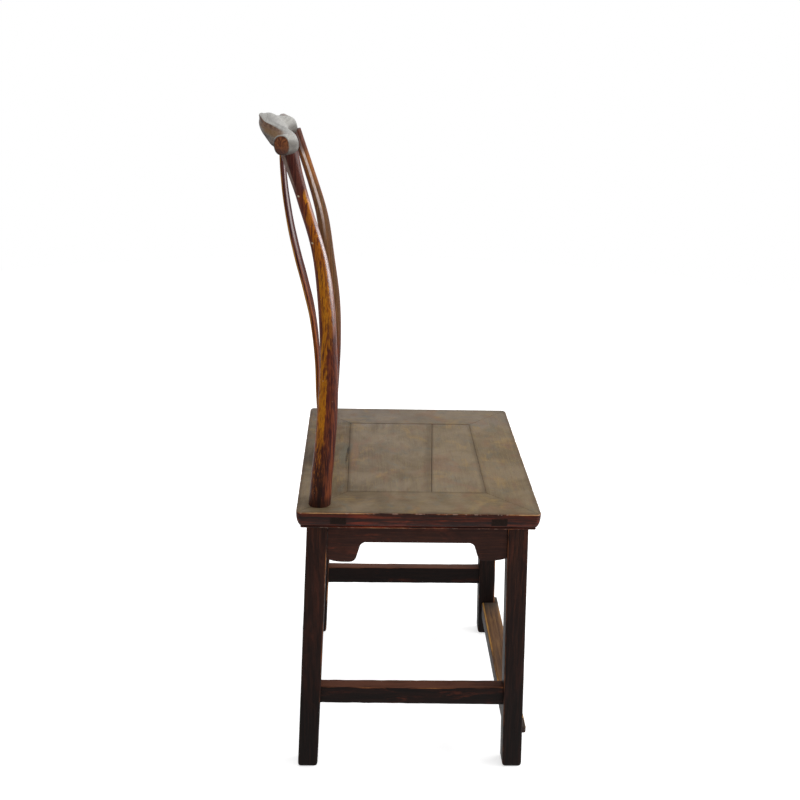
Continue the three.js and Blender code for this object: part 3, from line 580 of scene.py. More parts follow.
def seat_top_colour(wood):
    """The worn olive-brown top: soft clouds, a painted bluish sheen on the left, warmer to the front, dirt
    by the joints.
    """
    soft = wood.noise(13, even, 4, 0.6, 0.6, at=(4, 4, 4))
    colour = soft.paints(0.34, 0.66, "524330", "746450")
    # Painted sheen: a bluish grey cast over the left side, standing in for a grazing reflection.
    colour = colour.tinted((wood.x + (soft - 0.5) * 0.1).step(0.13, 0.17) * 0.3, "6c6a70")
    colour = colour.tinted((wood.y + (soft - 0.5) * 0.2).fall(-0.12, 0.1) * 0.3, "6c5a3c")
    colour = colour.tinted((wood.fibre * 0.6 + wood.streak * 0.5).step(0.45, 0.75) * 0.45, "80704f")
    green = wood.noise(26, even, 5, 0.7, 0.8, at=(8, 3, 1)).step(0.52, 0.68)
    colour = colour.tinted(green * 0.45, "54574e")
    brown = wood.noise(19, even, 4, 0.6, 1.0, at=(3, 6, 7)).step(0.5, 0.66)
    colour = colour.tinted(brown * 0.4, "70503a")
    colour = seat_crack(wood, colour.tinted(wood.scuffs.step(0.54, 0.7) * 0.36, "4c3020"))
    gold = wood.noise(22, even, 4, 0.65, 0.7, at=(6, 1, 2)) * 0.7 + wood.fibre * 0.3
    colour = colour.tinted(gold.step(0.52, 0.64) * 0.4, "8c7040")
    from_side, from_end = seat_width / 2 - abs(wood.x), seat_depth / 2 - abs(wood.y - middle_y)
    from_edge = from_side.maths("MINIMUM", from_side, from_end) + (wood.scuffs - 0.5) * 0.02
    colour = colour.tinted(from_edge.fall(1 * mm, 9 * mm) * 0.55, "3f2c20")
    specks = wood.noise(420, even, 3, 0.6, at=(1, 9, 5)).step(0.62, 0.72)
    return wood.grimed(colour.tinted(specks * 0.4, "33241a"), "3a2e22", 0.38)


def seat_edge_colour(wood):
    """The moulded edge: black-brown with red streaks, a chipped golden arris, and painted glints along it.
    """
    colour = wood.ground("1b0b08", "38170d", "6e2e1b")
    strip = (wood.streak * 0.8 + wood.blotch * 0.4 + wood.fibre * 0.3).step(0.76, 0.88)
    colour = colour.tinted(strip * 0.75, "74331f")
    at_front = (-wood.backward).step(0.3, 0.7)
    colour = colour.tinted(at_front * 0.3, "24110c")
    reddish = wood.blotch.step(0.46, 0.6) * wood.streak.step(0.42, 0.56) * (1 - at_front * 0.6)
    colour = colour.tinted(reddish * 0.7, "7e2f1f")
    dark_patch = (wood.cloud * 0.6 + wood.blotch * 0.5).step(0.54, 0.66)
    colour = colour.tinted(dark_patch * 0.7, "1a0d09")
    colour = wood.rubbed(wood.pored(colour, "160c0a", 0.5), 0.24, "8a5430", "c09868")
    # Pale specks along the worn arris: partly chips, partly painted glints of light.
    glints = wood.wear.step(0.55, 0.85) * wood.noise(170, even, 3, 0.6, at=(2, 5, 9)).step(0.55, 0.62)
    return colour.tinted(glints * 0.45, "b0907e")


def seat_finish(grain):
    """A rail's edge and its flat top, which is pale where it is rubbed."""
    wood = Wood("seat_wood_" + grain, grain)
    rubbed = (wood.wear * 0.7 + wood.scuffs * 0.5).step(0.75, 0.95)
    top = seat_top_colour(wood).tinted(rubbed * 0.6, "a8875c")
    flat = wood.upward.step(0.8, 0.95) * wood.height.step(0.5066, 0.508)
    return wood.surface(seat_edge_colour(wood).tinted(flat, top), 0.5, 0.25 * mm, 0.12)


def panel_finish():
    """The same top, with dark joints round the boards."""
    wood = Wood("panel_wood", "X")
    colour = wood.rubbed(seat_top_colour(wood), 0.02, "6c5638", "8a7350")
    colour = colour.tinted(wood.upward.fall(0.5, 0.9), "241a13")
    return wood.surface(colour, 0.52, 0.25 * mm, 0.22)


def footrest_finish():
    """Bare, worn by feet: tan-brown streaks, grey dirt at the ends, a golden back edge."""
    wood = Wood("footrest_wood", "X")
    colour = wood.ground("4a321f", "66472c", "82613b")
    colour = colour.tinted(wood.blotch.step(0.5, 0.68) * 0.5, "463222")
    colour = colour.tinted((abs(wood.x) + wood.ragged * 0.08).step(0.13, 0.2) * 0.85, "35302c")
    colour = colour.tinted(wood.upward.fall(0.2, 0.7) * 0.8, "2c1c15")
    colour = wood.rubbed(colour, 0.3, "97692f", "b88a4a")
    return wood.surface(colour, 0.62, 0.3 * mm, 0.2)


def end_grain_finish():
    """The dark sawn ends of the tenons."""
    wood = Wood("tenon_end_grain", "X")
    colour = wood.noise(900, (0.3, 1, 1), 3, 0.6).paints(0.4, 0.65, "1b1310", "2d211c")
    return wood.surface(colour, 0.7, 0.25 * mm, 0.04)


dark = {grain: dark_lacquer(grain) for grain in "XYZ"}
seat = {grain: seat_finish(grain) for grain in "XY"}
amber, plum, crest_wood = post_finish(), splat_finish(), crest_finish()
panel_wood, foot_worn, end_grain = panel_finish(), footrest_finish(), end_grain_finish()


# Legs

leg_steps, bar_squareness = 80, 11
foot_heights = [0, 0.8 * mm, 2.2 * mm, 4.4 * mm, 8 * mm]
foot_insets = [5 * mm, 3 * mm, 1.5 * mm, 0.5 * mm, 0]
leg_roughness = 0.5 * mm
leg_tenon_half, leg_tenon_length, leg_tenon_squareness = 8 * mm, 20 * mm, 12


def leg_centre(side, end, height):
    """The middle of a splayed leg at a height."""
    drop = seat_height - height
    return Vector((side * (seat_width / 2 - leg_inset_side + drop * side_splay),
                   middle_y + end * (seat_depth / 2 - leg_inset_end + drop * end_splay), height))


def leg_rings(side, end, seed):
    """Rings of a leg from its rounded foot up to the seat frame, most worn on its inner corners."""
    heights = foot_heights + [blend(foot_heights[-1], underside - joint_gap, share)
                              for share in shares(leg_steps)[1:]]
    rings = []
    for height, inset in zip(heights, foot_insets + [0] * leg_steps):
        centre = leg_centre(side, end, height)
        rough = leg_roughness if height > 1 * mm else 0
        ring = []
        for x, y, corner in section(leg_width / 2 - inset, leg_depth / 2 - inset, bar_squareness):
            out = Vector((x, y, 0))
            point = centre + out
            push = unevenness(point, 14 * mm, (1, 1, 4), seed) * 0.4
            push += unevenness(point, 5 * mm, (1, 1, 3), seed + 3) * 0.25 * corner
            push -= corner * max(0, unevenness(point, 9 * mm, (1, 1, 2.5), seed + 5)) * 1.2
            if x * side > 0 and y * end > 0:
                corner *= 0.55
            wear = rubbed_corner(corner, 0.72, 0.4, point, 20 * mm, (1, 1, 3), seed + 9)
            ring.append((point + out.normalized() * push * rough, wear, 0))
        rings.append(ring)
    return rings


def front_leg(name, side):
    rings = leg_rings(side, -1, 11 + side)
    centre = leg_centre(side, -1, underside)
    for height in (underside - joint_gap, underside + leg_tenon_length):
        rings.append([(Vector((centre.x + x, centre.y + y, height)), 0, 0)
                      for x, y, corner in section(leg_tenon_half, leg_tenon_half, leg_tenon_squareness)])
    make(f"front_leg_{name}_worn", rings, dark["Z"], [f"front_leg_{name}"])


# Back posts

post_setbacks = [0, -0.146, -0.235, -0.245, -0.12, 0.08, 0.515, 1]
post_tapers = [1, 0.88, 0.8, 0.5, 0.16, 0.03, 0, 0]
post_foot_ahead, left_post_end = 2 * mm, 0.985
post_widening, post_swell, post_thinning = 3.6 * mm, 2 * mm, 0.8 * mm
post_roundness, post_unroundness = 2.25, 0.3


def post_centre(side, share):
    """A point of a post's middle line, from the seat (0) to the crest rail (1)."""
    seat_point = leg_centre(side, 1, seat_height)
    x = blend(seat_point.x, side * post_spacing, share)
    setback = post_lean * along(post_setbacks, share) + back_racking * x * share
    ahead = post_foot_ahead * (1 - ease(0, 0.1, share))
    return Vector((x, seat_point.y - ahead + setback, seat_height + rise * share))


def post_shape(side, share):
    """A post's radius, and how far it swells to the front (right post) or the back (left post)."""
    swell = post_swell * ease(0.42, 0.58, share) * (1 - ease(0.6, 0.78, share))
    swell -= post_thinning * ease(0.74, 0.84, share) * (1 - ease(0.92, 0.98, share))
    radius = blend(post_top, post_foot, along(post_tapers, share)) + swell
    if side == sides["right"]:
        radius += post_widening * ease(0.86, 1, share)
    return radius, swell


def rear_leg_post(name, side):
    """A rear leg and its back post in one timber, square below the seat and round above it."""
    rings = leg_rings(side, 1, 21 + side)
    places = [leg_centre(side, 1, underside).lerp(post_centre(side, 0), share) for share in shares(6)]
    places[0].z -= joint_gap
    end_share = left_post_end if side == sides["left"] else 1
    places += [post_centre(side, share * end_share) for share in shares(150)[1:]]
    for index, place in enumerate(places):
        ahead = places[min(index + 1, len(places) - 1)] - places[max(index - 1, 0)]
        direction = ahead.normalized()
        across = (Vector((1, 0, 0)) - direction * direction.x).normalized()
        back = direction.cross(across)
        radius, swell = post_shape(side, max(0, (place.z - seat_height) / rise))
        centre = place + Vector((0, side * swell, 0))
        squareness = post_roundness + post_unroundness * unevenness(place, 60 * mm, even, side)
        ring = []
        for x, y, corner in section(radius, radius, squareness):
            out = across * x + back * y
            point = centre + out
            bump = unevenness(point, 16 * mm, (1, 1, 5), 31 + side) * 0.35
            bump += unevenness(point, 45 * mm, (1, 1, 2), 35 + side) * 0.5
            wear = 0.3 + 0.3 * unevenness(point, 30 * mm, (1, 1, 3), 41 + side)
            ring.append((point + out.normalized() * bump * mm * ease(0.505, 0.515, point.z), wear, 0))
        rings.append(ring)
    rings = [[(point, wear, 1 - ease(seat_height + 2 * mm, seat_height + 26 * mm, point.z))
              for point, wear, grime in ring] for ring in rings]
    make(f"rear_leg_post_{name}_worn", rings, amber, [f"rear_leg_post_{name}"])


for side_name, side in sides.items():
    front_leg(side_name, side)
    rear_leg_post(side_name, side)


# Crest rail: rows of shares from the middle to an end

crest_shares = {
    "x": [0, 0.27, 0.49, 0.67, 0.85, 1],
    "setback": [1, 0.88, 0.42, 0.09, 0.12, 0.43],
    "rise": [1, 0.48, 0.4, 0, 0.15, 0.45],
    "tall": [1, 0.77, 0.56, 0.56, 0.52, 0.5],
    "thick": [1, 0.95, 0.88, 0.84, 0.76, 0.66],
    "lean": [1, 0.9, 0.66, 0.34, 0.2, 0.16],
    "ridge": [1, 0.8, 0.45, 0.1, 0, 0],
}
crest_plane = post_centre(1, 1).y - back_racking * post_spacing
crest_points, crest_squareness, crest_ridge_sharpness = 64, 0.84, 60
crest_racking, crest_tilt = 19 / 300, 6 / 448
left_arm_shift, left_arm_thinning = Vector((0, 2.5 * mm, -2 * mm)), 0.16
crest_hollow, pillow_from, pillow_gain = 0.3, 0.8, 5


def crest_value(key, share):
    """The size at a share from the middle (0) to an end of the rail (1 or -1)."""
    row = crest_shares[key]
    mirrored = [(-value if key == "x" else value) for value in row[:0:-1]] + row
    return along(mirrored, (share + 1) / 2)


def crest_ring(share, inset=0, beyond=0):
    """A ring of the rail; one with an inset, beyond the end, rounds off the end's edge."""
    x = crest_value("x", share) * crest_half
    pillow = max(0, crest_value("thick", share) - pillow_from) * pillow_gain
    left_arm = ease(0.45, 0.9, share)
    centre = Vector((x + (beyond if share > 0 else -beyond),
                     crest_plane + crest_value("setback", share) * crest_setback + x * crest_racking,
                     crest_height + crest_value("rise", share) * crest_rise - x * crest_tilt))
    centre += left_arm_shift * left_arm
    lean = crest_value("lean", share) * crest_lean
    tall = crest_value("tall", share) * crest_tall / 2 - inset
    thick = crest_value("thick", share) * crest_thick / 2 * (1 - left_arm_thinning * left_arm) - inset
    ridge = max(0, crest_value("ridge", share)) * crest_ridge if not inset else 0
    ring = []
    for turn in [step / crest_points * 2 * pi for step in range(crest_points)]:
        up_share = signed_power(cos(turn), crest_squareness)
        at_ridge = max(0, cos(turn)) ** crest_ridge_sharpness
        up = tall * up_share + ridge * at_ridge
        back = thick * signed_power(sin(-turn), crest_squareness)
        if back > 0:
            hollow = ease(-0.35, 0.35, up_share) * (1 - ease(0.8, 1, up_share))
            back *= 1 - crest_hollow * hollow * min(1, pillow) * ease(0.04, 0.3, abs(share))
        out = Vector((0, back * cos(lean) + up * sin(lean), up * cos(lean) - back * sin(lean)))
        point = centre + out
        bump = unevenness(point, 22 * mm, (2, 1, 1), 3) * 0.4
        bump += unevenness(point, 8 * mm, (3, 1, 1), 4) * 0.15 - 0.25
        wear = 0.35 + 0.35 * unevenness(point, 18 * mm, (2, 1, 1), 8)
        wear = max(wear, at_ridge * min(1, ridge / mm) * 0.7)
        ring.append((point + (point - centre).normalized() * bump * mm, wear, 0))
    return ring


crest_end_edge = [(2.6 * mm, 2.5 * mm), (1.6 * mm, 2.3 * mm), (0.8 * mm, 1.8 * mm), (0.2 * mm, 1 * mm)]
crest_rings = [crest_ring(-1, inset, beyond) for inset, beyond in crest_end_edge]
crest_rings += [crest_ring(share * 2 - 1) for share in shares(180)]
crest_rings += [crest_ring(1, inset, beyond) for inset, beyond in reversed(crest_end_edge)]
make("crest_rail_worn", crest_rings, crest_wood, ["crest_rail"])


# Seat rails: one moulded profile swept between mitres

plan_corner, mitre_gap = 9 * mm, 0.15 * mm
top_crease = 28


def rail_profile():
    """The rail's cross-section as (inset from the outer edge, height, wear), all the way round."""
    top, bead_top, bead = seat_height, rail_thickness - bead_height, bead_height / 2
    points = [(blend(rail_width, 1.5 * mm, share), top, 0.0) for share in shares(24)]
    points += [(0.8 * mm, top - 0.15 * mm, 0.8), (0.25 * mm, top - 0.6 * mm, 1.0),
               (0, top - 1.4 * mm, 0.75), (0, top - 3 * mm, 0.3), (0.05 * mm, top - edge_lip, 0.15)]
    for turn in [share * pi / 2 for share in shares(10)[1:]]:
        points.append((edge_undercut * (1 - cos(turn)),
                       top - edge_lip - (bead_top - edge_lip) * sin(turn), 0.15))
    for share in shares(6):
        turn = share * pi
        points.append((edge_undercut - bead_depth * sin(turn),
                       top - bead_top - bead + bead * cos(turn), 0.3 + 0.7 * share))
    points += [(blend(edge_undercut + 2 * mm, rail_width, share), underside, 0.0) for share in shares(4)]
    points += [(rail_width, blend(underside, top, share), 0.0) for share in (0.3, 0.7, 0.97)]
    return points


def frame_place(grain, sign):
    """Turns a length, a distance outwards and a height into a point on one side of the seat frame."""
    if grain == "Y":
        return lambda length, outward, height: Vector((sign * outward, middle_y + length, height))
    return lambda length, outward, height: Vector((length, middle_y + sign * outward, height))


def seat_rail(name, grain, sign, half_length, outward, seed):
    """A rail from mitre to mitre, with rounded corners in plan, chips, and dirt along its seams."""
    place = frame_place(grain, sign)
    near_end = [0.966, 0.973, 0.98, 0.986, 0.991, 0.995, 0.998, 1.0]
    stations = [-share for share in reversed(near_end)]
    stations += [blend(-0.96, 0.96, share) for share in shares(130)] + near_end
    rings = []
    for station in stations:
        worn_mitre = ease(0.9965, 1, abs(station)) * 0.15 * mm
        ring = []
        for inset, height, rubbed in profile:
            radius = plan_corner - inset
            cut = plan_corner - radius / 2 ** 0.5 if radius > 0 else inset
            length = station * (half_length - cut - mitre_gap)
            turn = plan_corner - (half_length - abs(length))
            reach = outward - inset
            if radius > 0 and turn > 0:
                reach = outward - (plan_corner - max(radius ** 2 - turn ** 2, 0) ** 0.5)
            point = place(length, reach, height)
            dip = abs(unevenness(point, 55 * mm, even, seed) * 0.2
                      + unevenness(point, 14 * mm, even, seed + 2) * 0.08)
            chip = max(0, unevenness(point, 9 * mm, even, seed + 4) - 0.2) * rubbed * 1.8
            if height > seat_height - 0.1 * mm:
                point = place(length, reach, height - dip * 0.5 * mm - worn_mitre)
            else:
                point = place(length, reach - (dip * 0.6 + chip) * mm, height - chip * 0.3 * mm)
            panel_seam = ease(rail_width - 7 * mm, rail_width, inset) * 0.7
            mitre_seam = ease(0.975, 1, abs(station)) * 0.35 * ease(4 * mm, 14 * mm, inset)
            ring.append((point, rubbed, max(panel_seam, mitre_seam) if height > seat_height - mm else 0))
        rings.append(ring)
    make(f"seat_rail_{name}_moulded", rings, seat[grain], [f"seat_rail_{name}"], top_crease)


profile = rail_profile()
for end_name, end in ends.items():
    seat_rail(end_name, "X", end, seat_width / 2, seat_depth / 2, 51 + end)
for side_name, side in sides.items():
    seat_rail(side_name, "Y", side, seat_depth / 2, seat_width / 2, 61 + side)


# Ends of the front and back rails' tenons, which show in the side rails

tenon_end_depth, tenon_end_proud = 22 * mm, 0.03 * mm


def edge_inset(height):
    """How far the moulded edge is set in at a height."""
    drop = seat_height - height
    if drop < edge_lip:
        return 0
    share = min((drop - edge_lip) / (rail_thickness - bead_height - edge_lip), 1)
    return edge_undercut * (1 - (1 - share * share) ** 0.5)


def tenon_end(name, side, end):
    """A tenon's end, cut off flush with the curved edge of a side rail."""
    middle_z = seat_height - rail_thickness / 2 + joint_gap
    low, high = middle_z - rail_tenon_height / 2, middle_z + rail_tenon_height / 2
    middle = middle_y + end * (seat_depth / 2 - rail_tenon_inset - rail_tenon_width / 2)
    half = rail_tenon_width / 2
    rings = []
    for share in shares(20):
        length = middle + blend(-half, half, share)
        outline = [(seat_width / 2 - edge_inset(height) + tenon_end_proud, height)
                   for height in [blend(low, high, part) for part in shares(14)]]
        outline += [(seat_width / 2 - tenon_end_depth, height) for height in (high, low)]
        rings.append([(Vector((side * x, length, height)), 0, 0) for x, height in outline])
    make(name, rings, end_grain, [], 30)


for side_name, side in sides.items():
    for end_name, end in ends.items():
        tenon_end(f"rail_tenon_{end_name}_{side_name}", side, end)


# Panel boards

board_gap, board_line, board_arris = 0.25 * mm, 0.2 * mm, 1.4 * mm
board_half_x = seat_width / 2 - rail_width - board_gap
board_front = middle_y - seat_depth / 2 + rail_width + board_gap
board_back = middle_y + seat_depth / 2 - rail_width - board_gap


def joint_line(x):
    """Where the slanting joint between the two boards lies."""
    return middle_y - seat_depth / 2 + rail_width + board_joint - x * board_joint_slope


def board_outline(front, back, tip):
    """A board's cross-section as (place, height, wear), set down by a tip at its ends."""
    top, low = seat_height, seat_height - board_thickness
    outline = [(front + 0.1 * mm, top - 0.3 * mm - tip, 1), (front + 0.5 * mm, top - 0.08 * mm - tip, 0.8)]
    outline += [(blend(front + board_arris, back - board_arris, share), top - tip, 0)
                for share in shares(26)]
    outline += [(back - 0.5 * mm, top - 0.08 * mm - tip, 0.8), (back - 0.1 * mm, top - 0.3 * mm - tip, 1),
                (back, top - 2 * mm, 0), (back + board_line, top - 3 * mm, 0), (back + board_line, low, 0)]
    return outline + [(front - board_line, low, 0), (front - board_line, top - 3 * mm, 0),
                      (front, top - 2 * mm, 0)]


def panel_board(name, low_edge, high_edge, front_shade, back_shade, seed):
    """A board with a hollowed top, dirty along its edges over the widths of two shades."""
    stations = [-1, -0.9975] + [blend(-0.995, 0.995, share) for share in shares(90)] + [0.9975, 1]
    rings = []
    for station in stations:
        x = station * board_half_x
        front, back = low_edge(x), high_edge(x)
        end_shade = (1 - ease(0, 7 * mm, board_half_x - abs(x))) * 0.8
        ring = []
        for y, height, rubbed in board_outline(front, back, ease(0.9955, 1, abs(station)) * 0.25 * mm):
            point, grime = Vector((x, y, height)), 1
            dip = unevenness(point, 70 * mm, (2, 1, 1), seed) * 0.3
            dip += unevenness(point, 20 * mm, (3, 1, 1), seed + 1) * 0.07
            if height > seat_height - board_thickness + mm:
                point.z -= (abs(dip) + 0.05) * mm
            if height > seat_height - mm:
                grime = max(1 - ease(0, front_shade, y - front), 1 - ease(0, back_shade, back - y),
                            end_shade)
            ring.append((point, rubbed, grime))
        rings.append(ring)
    make(f"seat_board_{name}_worn", rings, panel_wood, [f"seat_board_{name}"], top_crease)


panel_board("front", lambda x: board_front, lambda x: joint_line(x) - board_line, 9 * mm, 5 * mm, 71)
panel_board("back", lambda x: joint_line(x) + board_line, lambda x: board_back, 22 * mm, 8 * mm, 73)


# Aprons with their spandrels

spandrel_runs = [0, 0.25, 0.55, 0.85, 0.98, 1.04, 1.1, 1.16, 1.28]
spandrel_drops = [0.86, 0.96, 1, 0.98, 0.84, 0.62, 0.34, 0.12, 0]
apron_arris, right_front_spandrel = 0.9 * mm, 0.88
apron_leg = leg_centre(1, 1, underside - spandrel_height / 2)
apron_in = apron_recess + apron_thickness / 2
apron_places = {
    "Y": (apron_leg.x + leg_width / 2 - apron_in, apron_leg.y - middle_y - leg_depth / 2, end_splay),
    "X": (apron_leg.y - middle_y + leg_depth / 2 - apron_in, apron_leg.x - leg_width / 2, side_splay),
}


def apron_outline(inner, splay, front_drop_share):
    """The apron seen from outside, as (length, height), with its top and arch heights."""
    top, arch = underside - joint_gap, underside - joint_gap - apron_height
    drop = spandrel_height - apron_height
    half = []
    for share in shares(6):
        height = blend(top, arch - drop * spandrel_drops[0], share)
        half.append((inner + (apron_leg.z - height) * splay - joint_gap, height))
    for share in shares(40)[1:]:
        half.append((inner - spandrel_width * along(spandrel_runs, share),
                     arch - drop * min(1, along(spandrel_drops, share))))
    half += [(half[-1][0] * share, arch) for share in (0.8, 0.6, 0.4, 0.2)]
    other_half = [(-length, arch - (arch - height) * front_drop_share if height < arch else height)
                  for length, height in reversed(half)]
    return half + other_half, top, arch


def apron(name, grain, sign, seed, front_drop_share=1):
    """A rail under the seat with a spandrel at each leg; the front one can be cut shallower."""
    middle, inner, splay = apron_places[grain]
    outline, top, arch = apron_outline(inner, splay, front_drop_share)
    place = frame_place(grain, sign)
    work = bmesh.new()
    low, high = [[work.verts.new(place(length, middle + face * apron_thickness / 2, height))
                  for length, height in outline] for face in (-1, 1)]
    work.faces.new(low)
    work.faces.new(high)
    for index in range(len(outline)):
        beside = (index + 1) % len(outline)
        work.faces.new((low[index], low[beside], high[beside], high[index]))
    bmesh.ops.recalc_face_normals(work, faces=work.faces)
    rims = [edge for edge in work.edges if edge.calc_face_angle(0) > radians(70)
            and min(vert.co.z for vert in edge.verts) < top - mm]
    bmesh.ops.bevel(work, geom=rims, offset=apron_arris, segments=3, profile=0.6, affect="EDGES",
                    clamp_overlap=True)
    bmesh.ops.triangulate(work, faces=[face for face in work.faces if len(face.verts) > 4])
    mesh = bpy.data.meshes.new(name)
    work.to_mesh(mesh)
    work.free()
    worn = mesh.attributes.new("wear", "FLOAT", "POINT")
    for index, vert in enumerate(mesh.vertices):
        near_arch = 0.7 if vert.co.z < arch + 1.5 * mm else 0.1
        worn.data[index].value = near_arch * (0.7 + 0.5 * unevenness(vert.co, 25 * mm, even, seed))
    finish_mesh(f"{name}_carved", mesh, dark[grain], [name], 35)


apron("apron_right", "Y", sides["right"], 80, right_front_spandrel)
apron("apron_left", "Y", sides["left"], 82)
for end_name, end in ends.items():
    apron(f"apron_{end_name}", "X", end, 84 + end)


# Stretchers

stretcher_reach_in = 0.5 * mm
side_swells = {"right": ((2 * mm, 2.5 * mm), (2.7 * mm, -0.8 * mm)),
               "left": ((1.6 * mm, 2.4 * mm), (1.6 * mm, 2.4 * mm))}
side_sags, back_sag = {"right": 2.4 * mm, "left": 0.8 * mm}, 1.2 * mm


def stretcher(name, start, stop, outside, grain, sag, seed, swells=((0, 0), (0, 0))):
    """A bar between two points, worn hollow along its top by a sag. Each of the two swells is what
    an end has more above and below."""
    across = (stop - start).normalized().cross(Vector((0, 0, 1))).normalized()
    rings = []
    for share in shares(90):
        centre = start.lerp(stop, share)
        ring = []
        for x, z, corner in section(stretcher_thickness / 2, stretcher_height / 2, bar_squareness):
            out = across * x + Vector((0, 0, z))
            point = centre + out
            level = z / stretcher_height * 2
            hollow = sin(share * pi) ** 0.7 * sag * max(0, level) * (1 if x * outside > 0 else 0.15)
            point.z += blend(swells[0][z < 0], swells[1][z < 0], share) * level
            push = unevenness(point, 16 * mm, (2, 2, 1), seed) * 0.35
            push -= corner * max(0, unevenness(point, 9 * mm, (2, 2, 1), seed + 5)) * 1.3
            upper = 1 if z > 0 else 0.35
            wear = rubbed_corner(corner * upper, 0.85, 0.5, point, 22 * mm, (2, 2, 1), seed + 7)
            ring.append((point + out.normalized() * push * mm - Vector((0, 0, hollow)), wear, 0))
        rings.append(ring)
    make(f"{name}_worn", rings, dark[grain], [name])


side_leg = leg_centre(1, 1, side_stretcher_top - stretcher_height / 2)
side_reach = side_leg.y - middle_y - leg_depth / 2 + stretcher_reach_in
for side_name, side in sides.items():
    x = side * (side_leg.x - stretcher_inset)
    stretcher(f"side_stretcher_{side_name}", Vector((x, middle_y - side_reach, side_leg.z)),
              Vector((x, middle_y + side_reach, side_leg.z)), side, "Y", side_sags[side_name], 91 + side,
              side_swells[side_name])
back_leg = leg_centre(1, 1, back_stretcher_top - stretcher_height / 2)
back_reach = back_leg.x - leg_width / 2 + stretcher_reach_in
stretcher("back_stretcher", Vector((-back_reach, back_leg.y, back_leg.z)),
          Vector((back_reach, back_leg.y, back_leg.z)), -1, "X", back_sag, 95)


# Footrest

footrest_set_in, footrest_squareness = 0.45 * mm, 6
footrest_end_round, footrest_end_wear, footrest_hollow = 3 * mm, 2.2 * mm, 1.6 * mm
foot_leg = leg_centre(1, -1, footrest_top)
leg_face = foot_leg.y - leg_depth / 2
foot_front = leg_face - footrest_reach + footrest_set_in
foot_inner = foot_leg.x - leg_width / 2 - joint_gap
foot_half = foot_leg.x + leg_width / 2 - footrest_end_inset


def footrest():
    """A board between the front legs, notched round them and worn hollow in the middle."""
    near_end = [station * foot_half for station in (0.992, 0.996, 0.9985, 1)]
    notch = foot_inner + 0.02 * mm
    xs = near_end + [-x for x in near_end] + [notch, -notch]
    xs += [blend(-foot_inner, foot_inner, share) for share in shares(110)]
    rings = []
    for x in sorted(xs):
        tip = ease(foot_half - footrest_end_round, foot_half, abs(x)) ** 2 * footrest_end_wear
        front = foot_front + tip
        back = leg_face - joint_gap if abs(x) > foot_inner + 0.01 * mm else foot_front + footrest_depth
        half_y, half_z = (back - front) / 2, footrest_thickness / 2 - tip * 0.5
        worn_down = (cos(min(abs(x) / foot_inner, 1) * pi) * 0.5 + 0.5) * footrest_hollow
        ring = []
        for y, z, corner in section(half_y, half_z, footrest_squareness):
            point = Vector((x, (back + front) / 2 + y, footrest_top - footrest_thickness / 2 + z))
            push = unevenness(point, 18 * mm, (2, 1, 1), 101) * 0.35
            push -= corner * max(0, unevenness(point, 10 * mm, (2, 1, 1), 103)) * 1.2
            wear = rubbed_corner(corner, 0.9, 0.4, point, 25 * mm, (2, 1, 1), 107)
            hollow = Vector((0, 0, worn_down * max(0, z / half_z)))
            ring.append((point + Vector((0, y, z)).normalized() * push * mm - hollow, wear, 0))
        rings.append(ring)
    make("footrest_worn", rings, foot_worn, ["footrest"])


footrest()


# Splat: a straight board bent along its side view by Geometry Nodes

splat_inputs = {"Width": splat_width, "Thickness": splat_thickness, "Arris": 1.4 * mm, "Lean": splat_lean,
                "Twist": back_racking, "Foot height": seat_height, "Foot place": 0.1, "Rise": rise,
                "Unevenness": 0.5 * mm}
splat_setbacks = [0, 0.12, 0.18, 0.21, 0.3, 0.48, 0.7, 0.87, 0.97, 1]
splat_steps, splat_edge_step = 200, 1.2 * mm


def side_view(tree, share):
    """The splat's setback against its height, as a curve."""
    setback = tree.node("ShaderNodeFloatCurve", None, {"Value": share})
    mapping = setback.socket.node.mapping
    points = mapping.curves[0].points
    points[0].location = (0, splat_setbacks[0])
    points[-1].location = (1, splat_setbacks[-1])
    for index, value in enumerate(splat_setbacks[1:-1], 1):
        points.new(index / (len(splat_setbacks) - 1), value)
    mapping.update()
    return setback


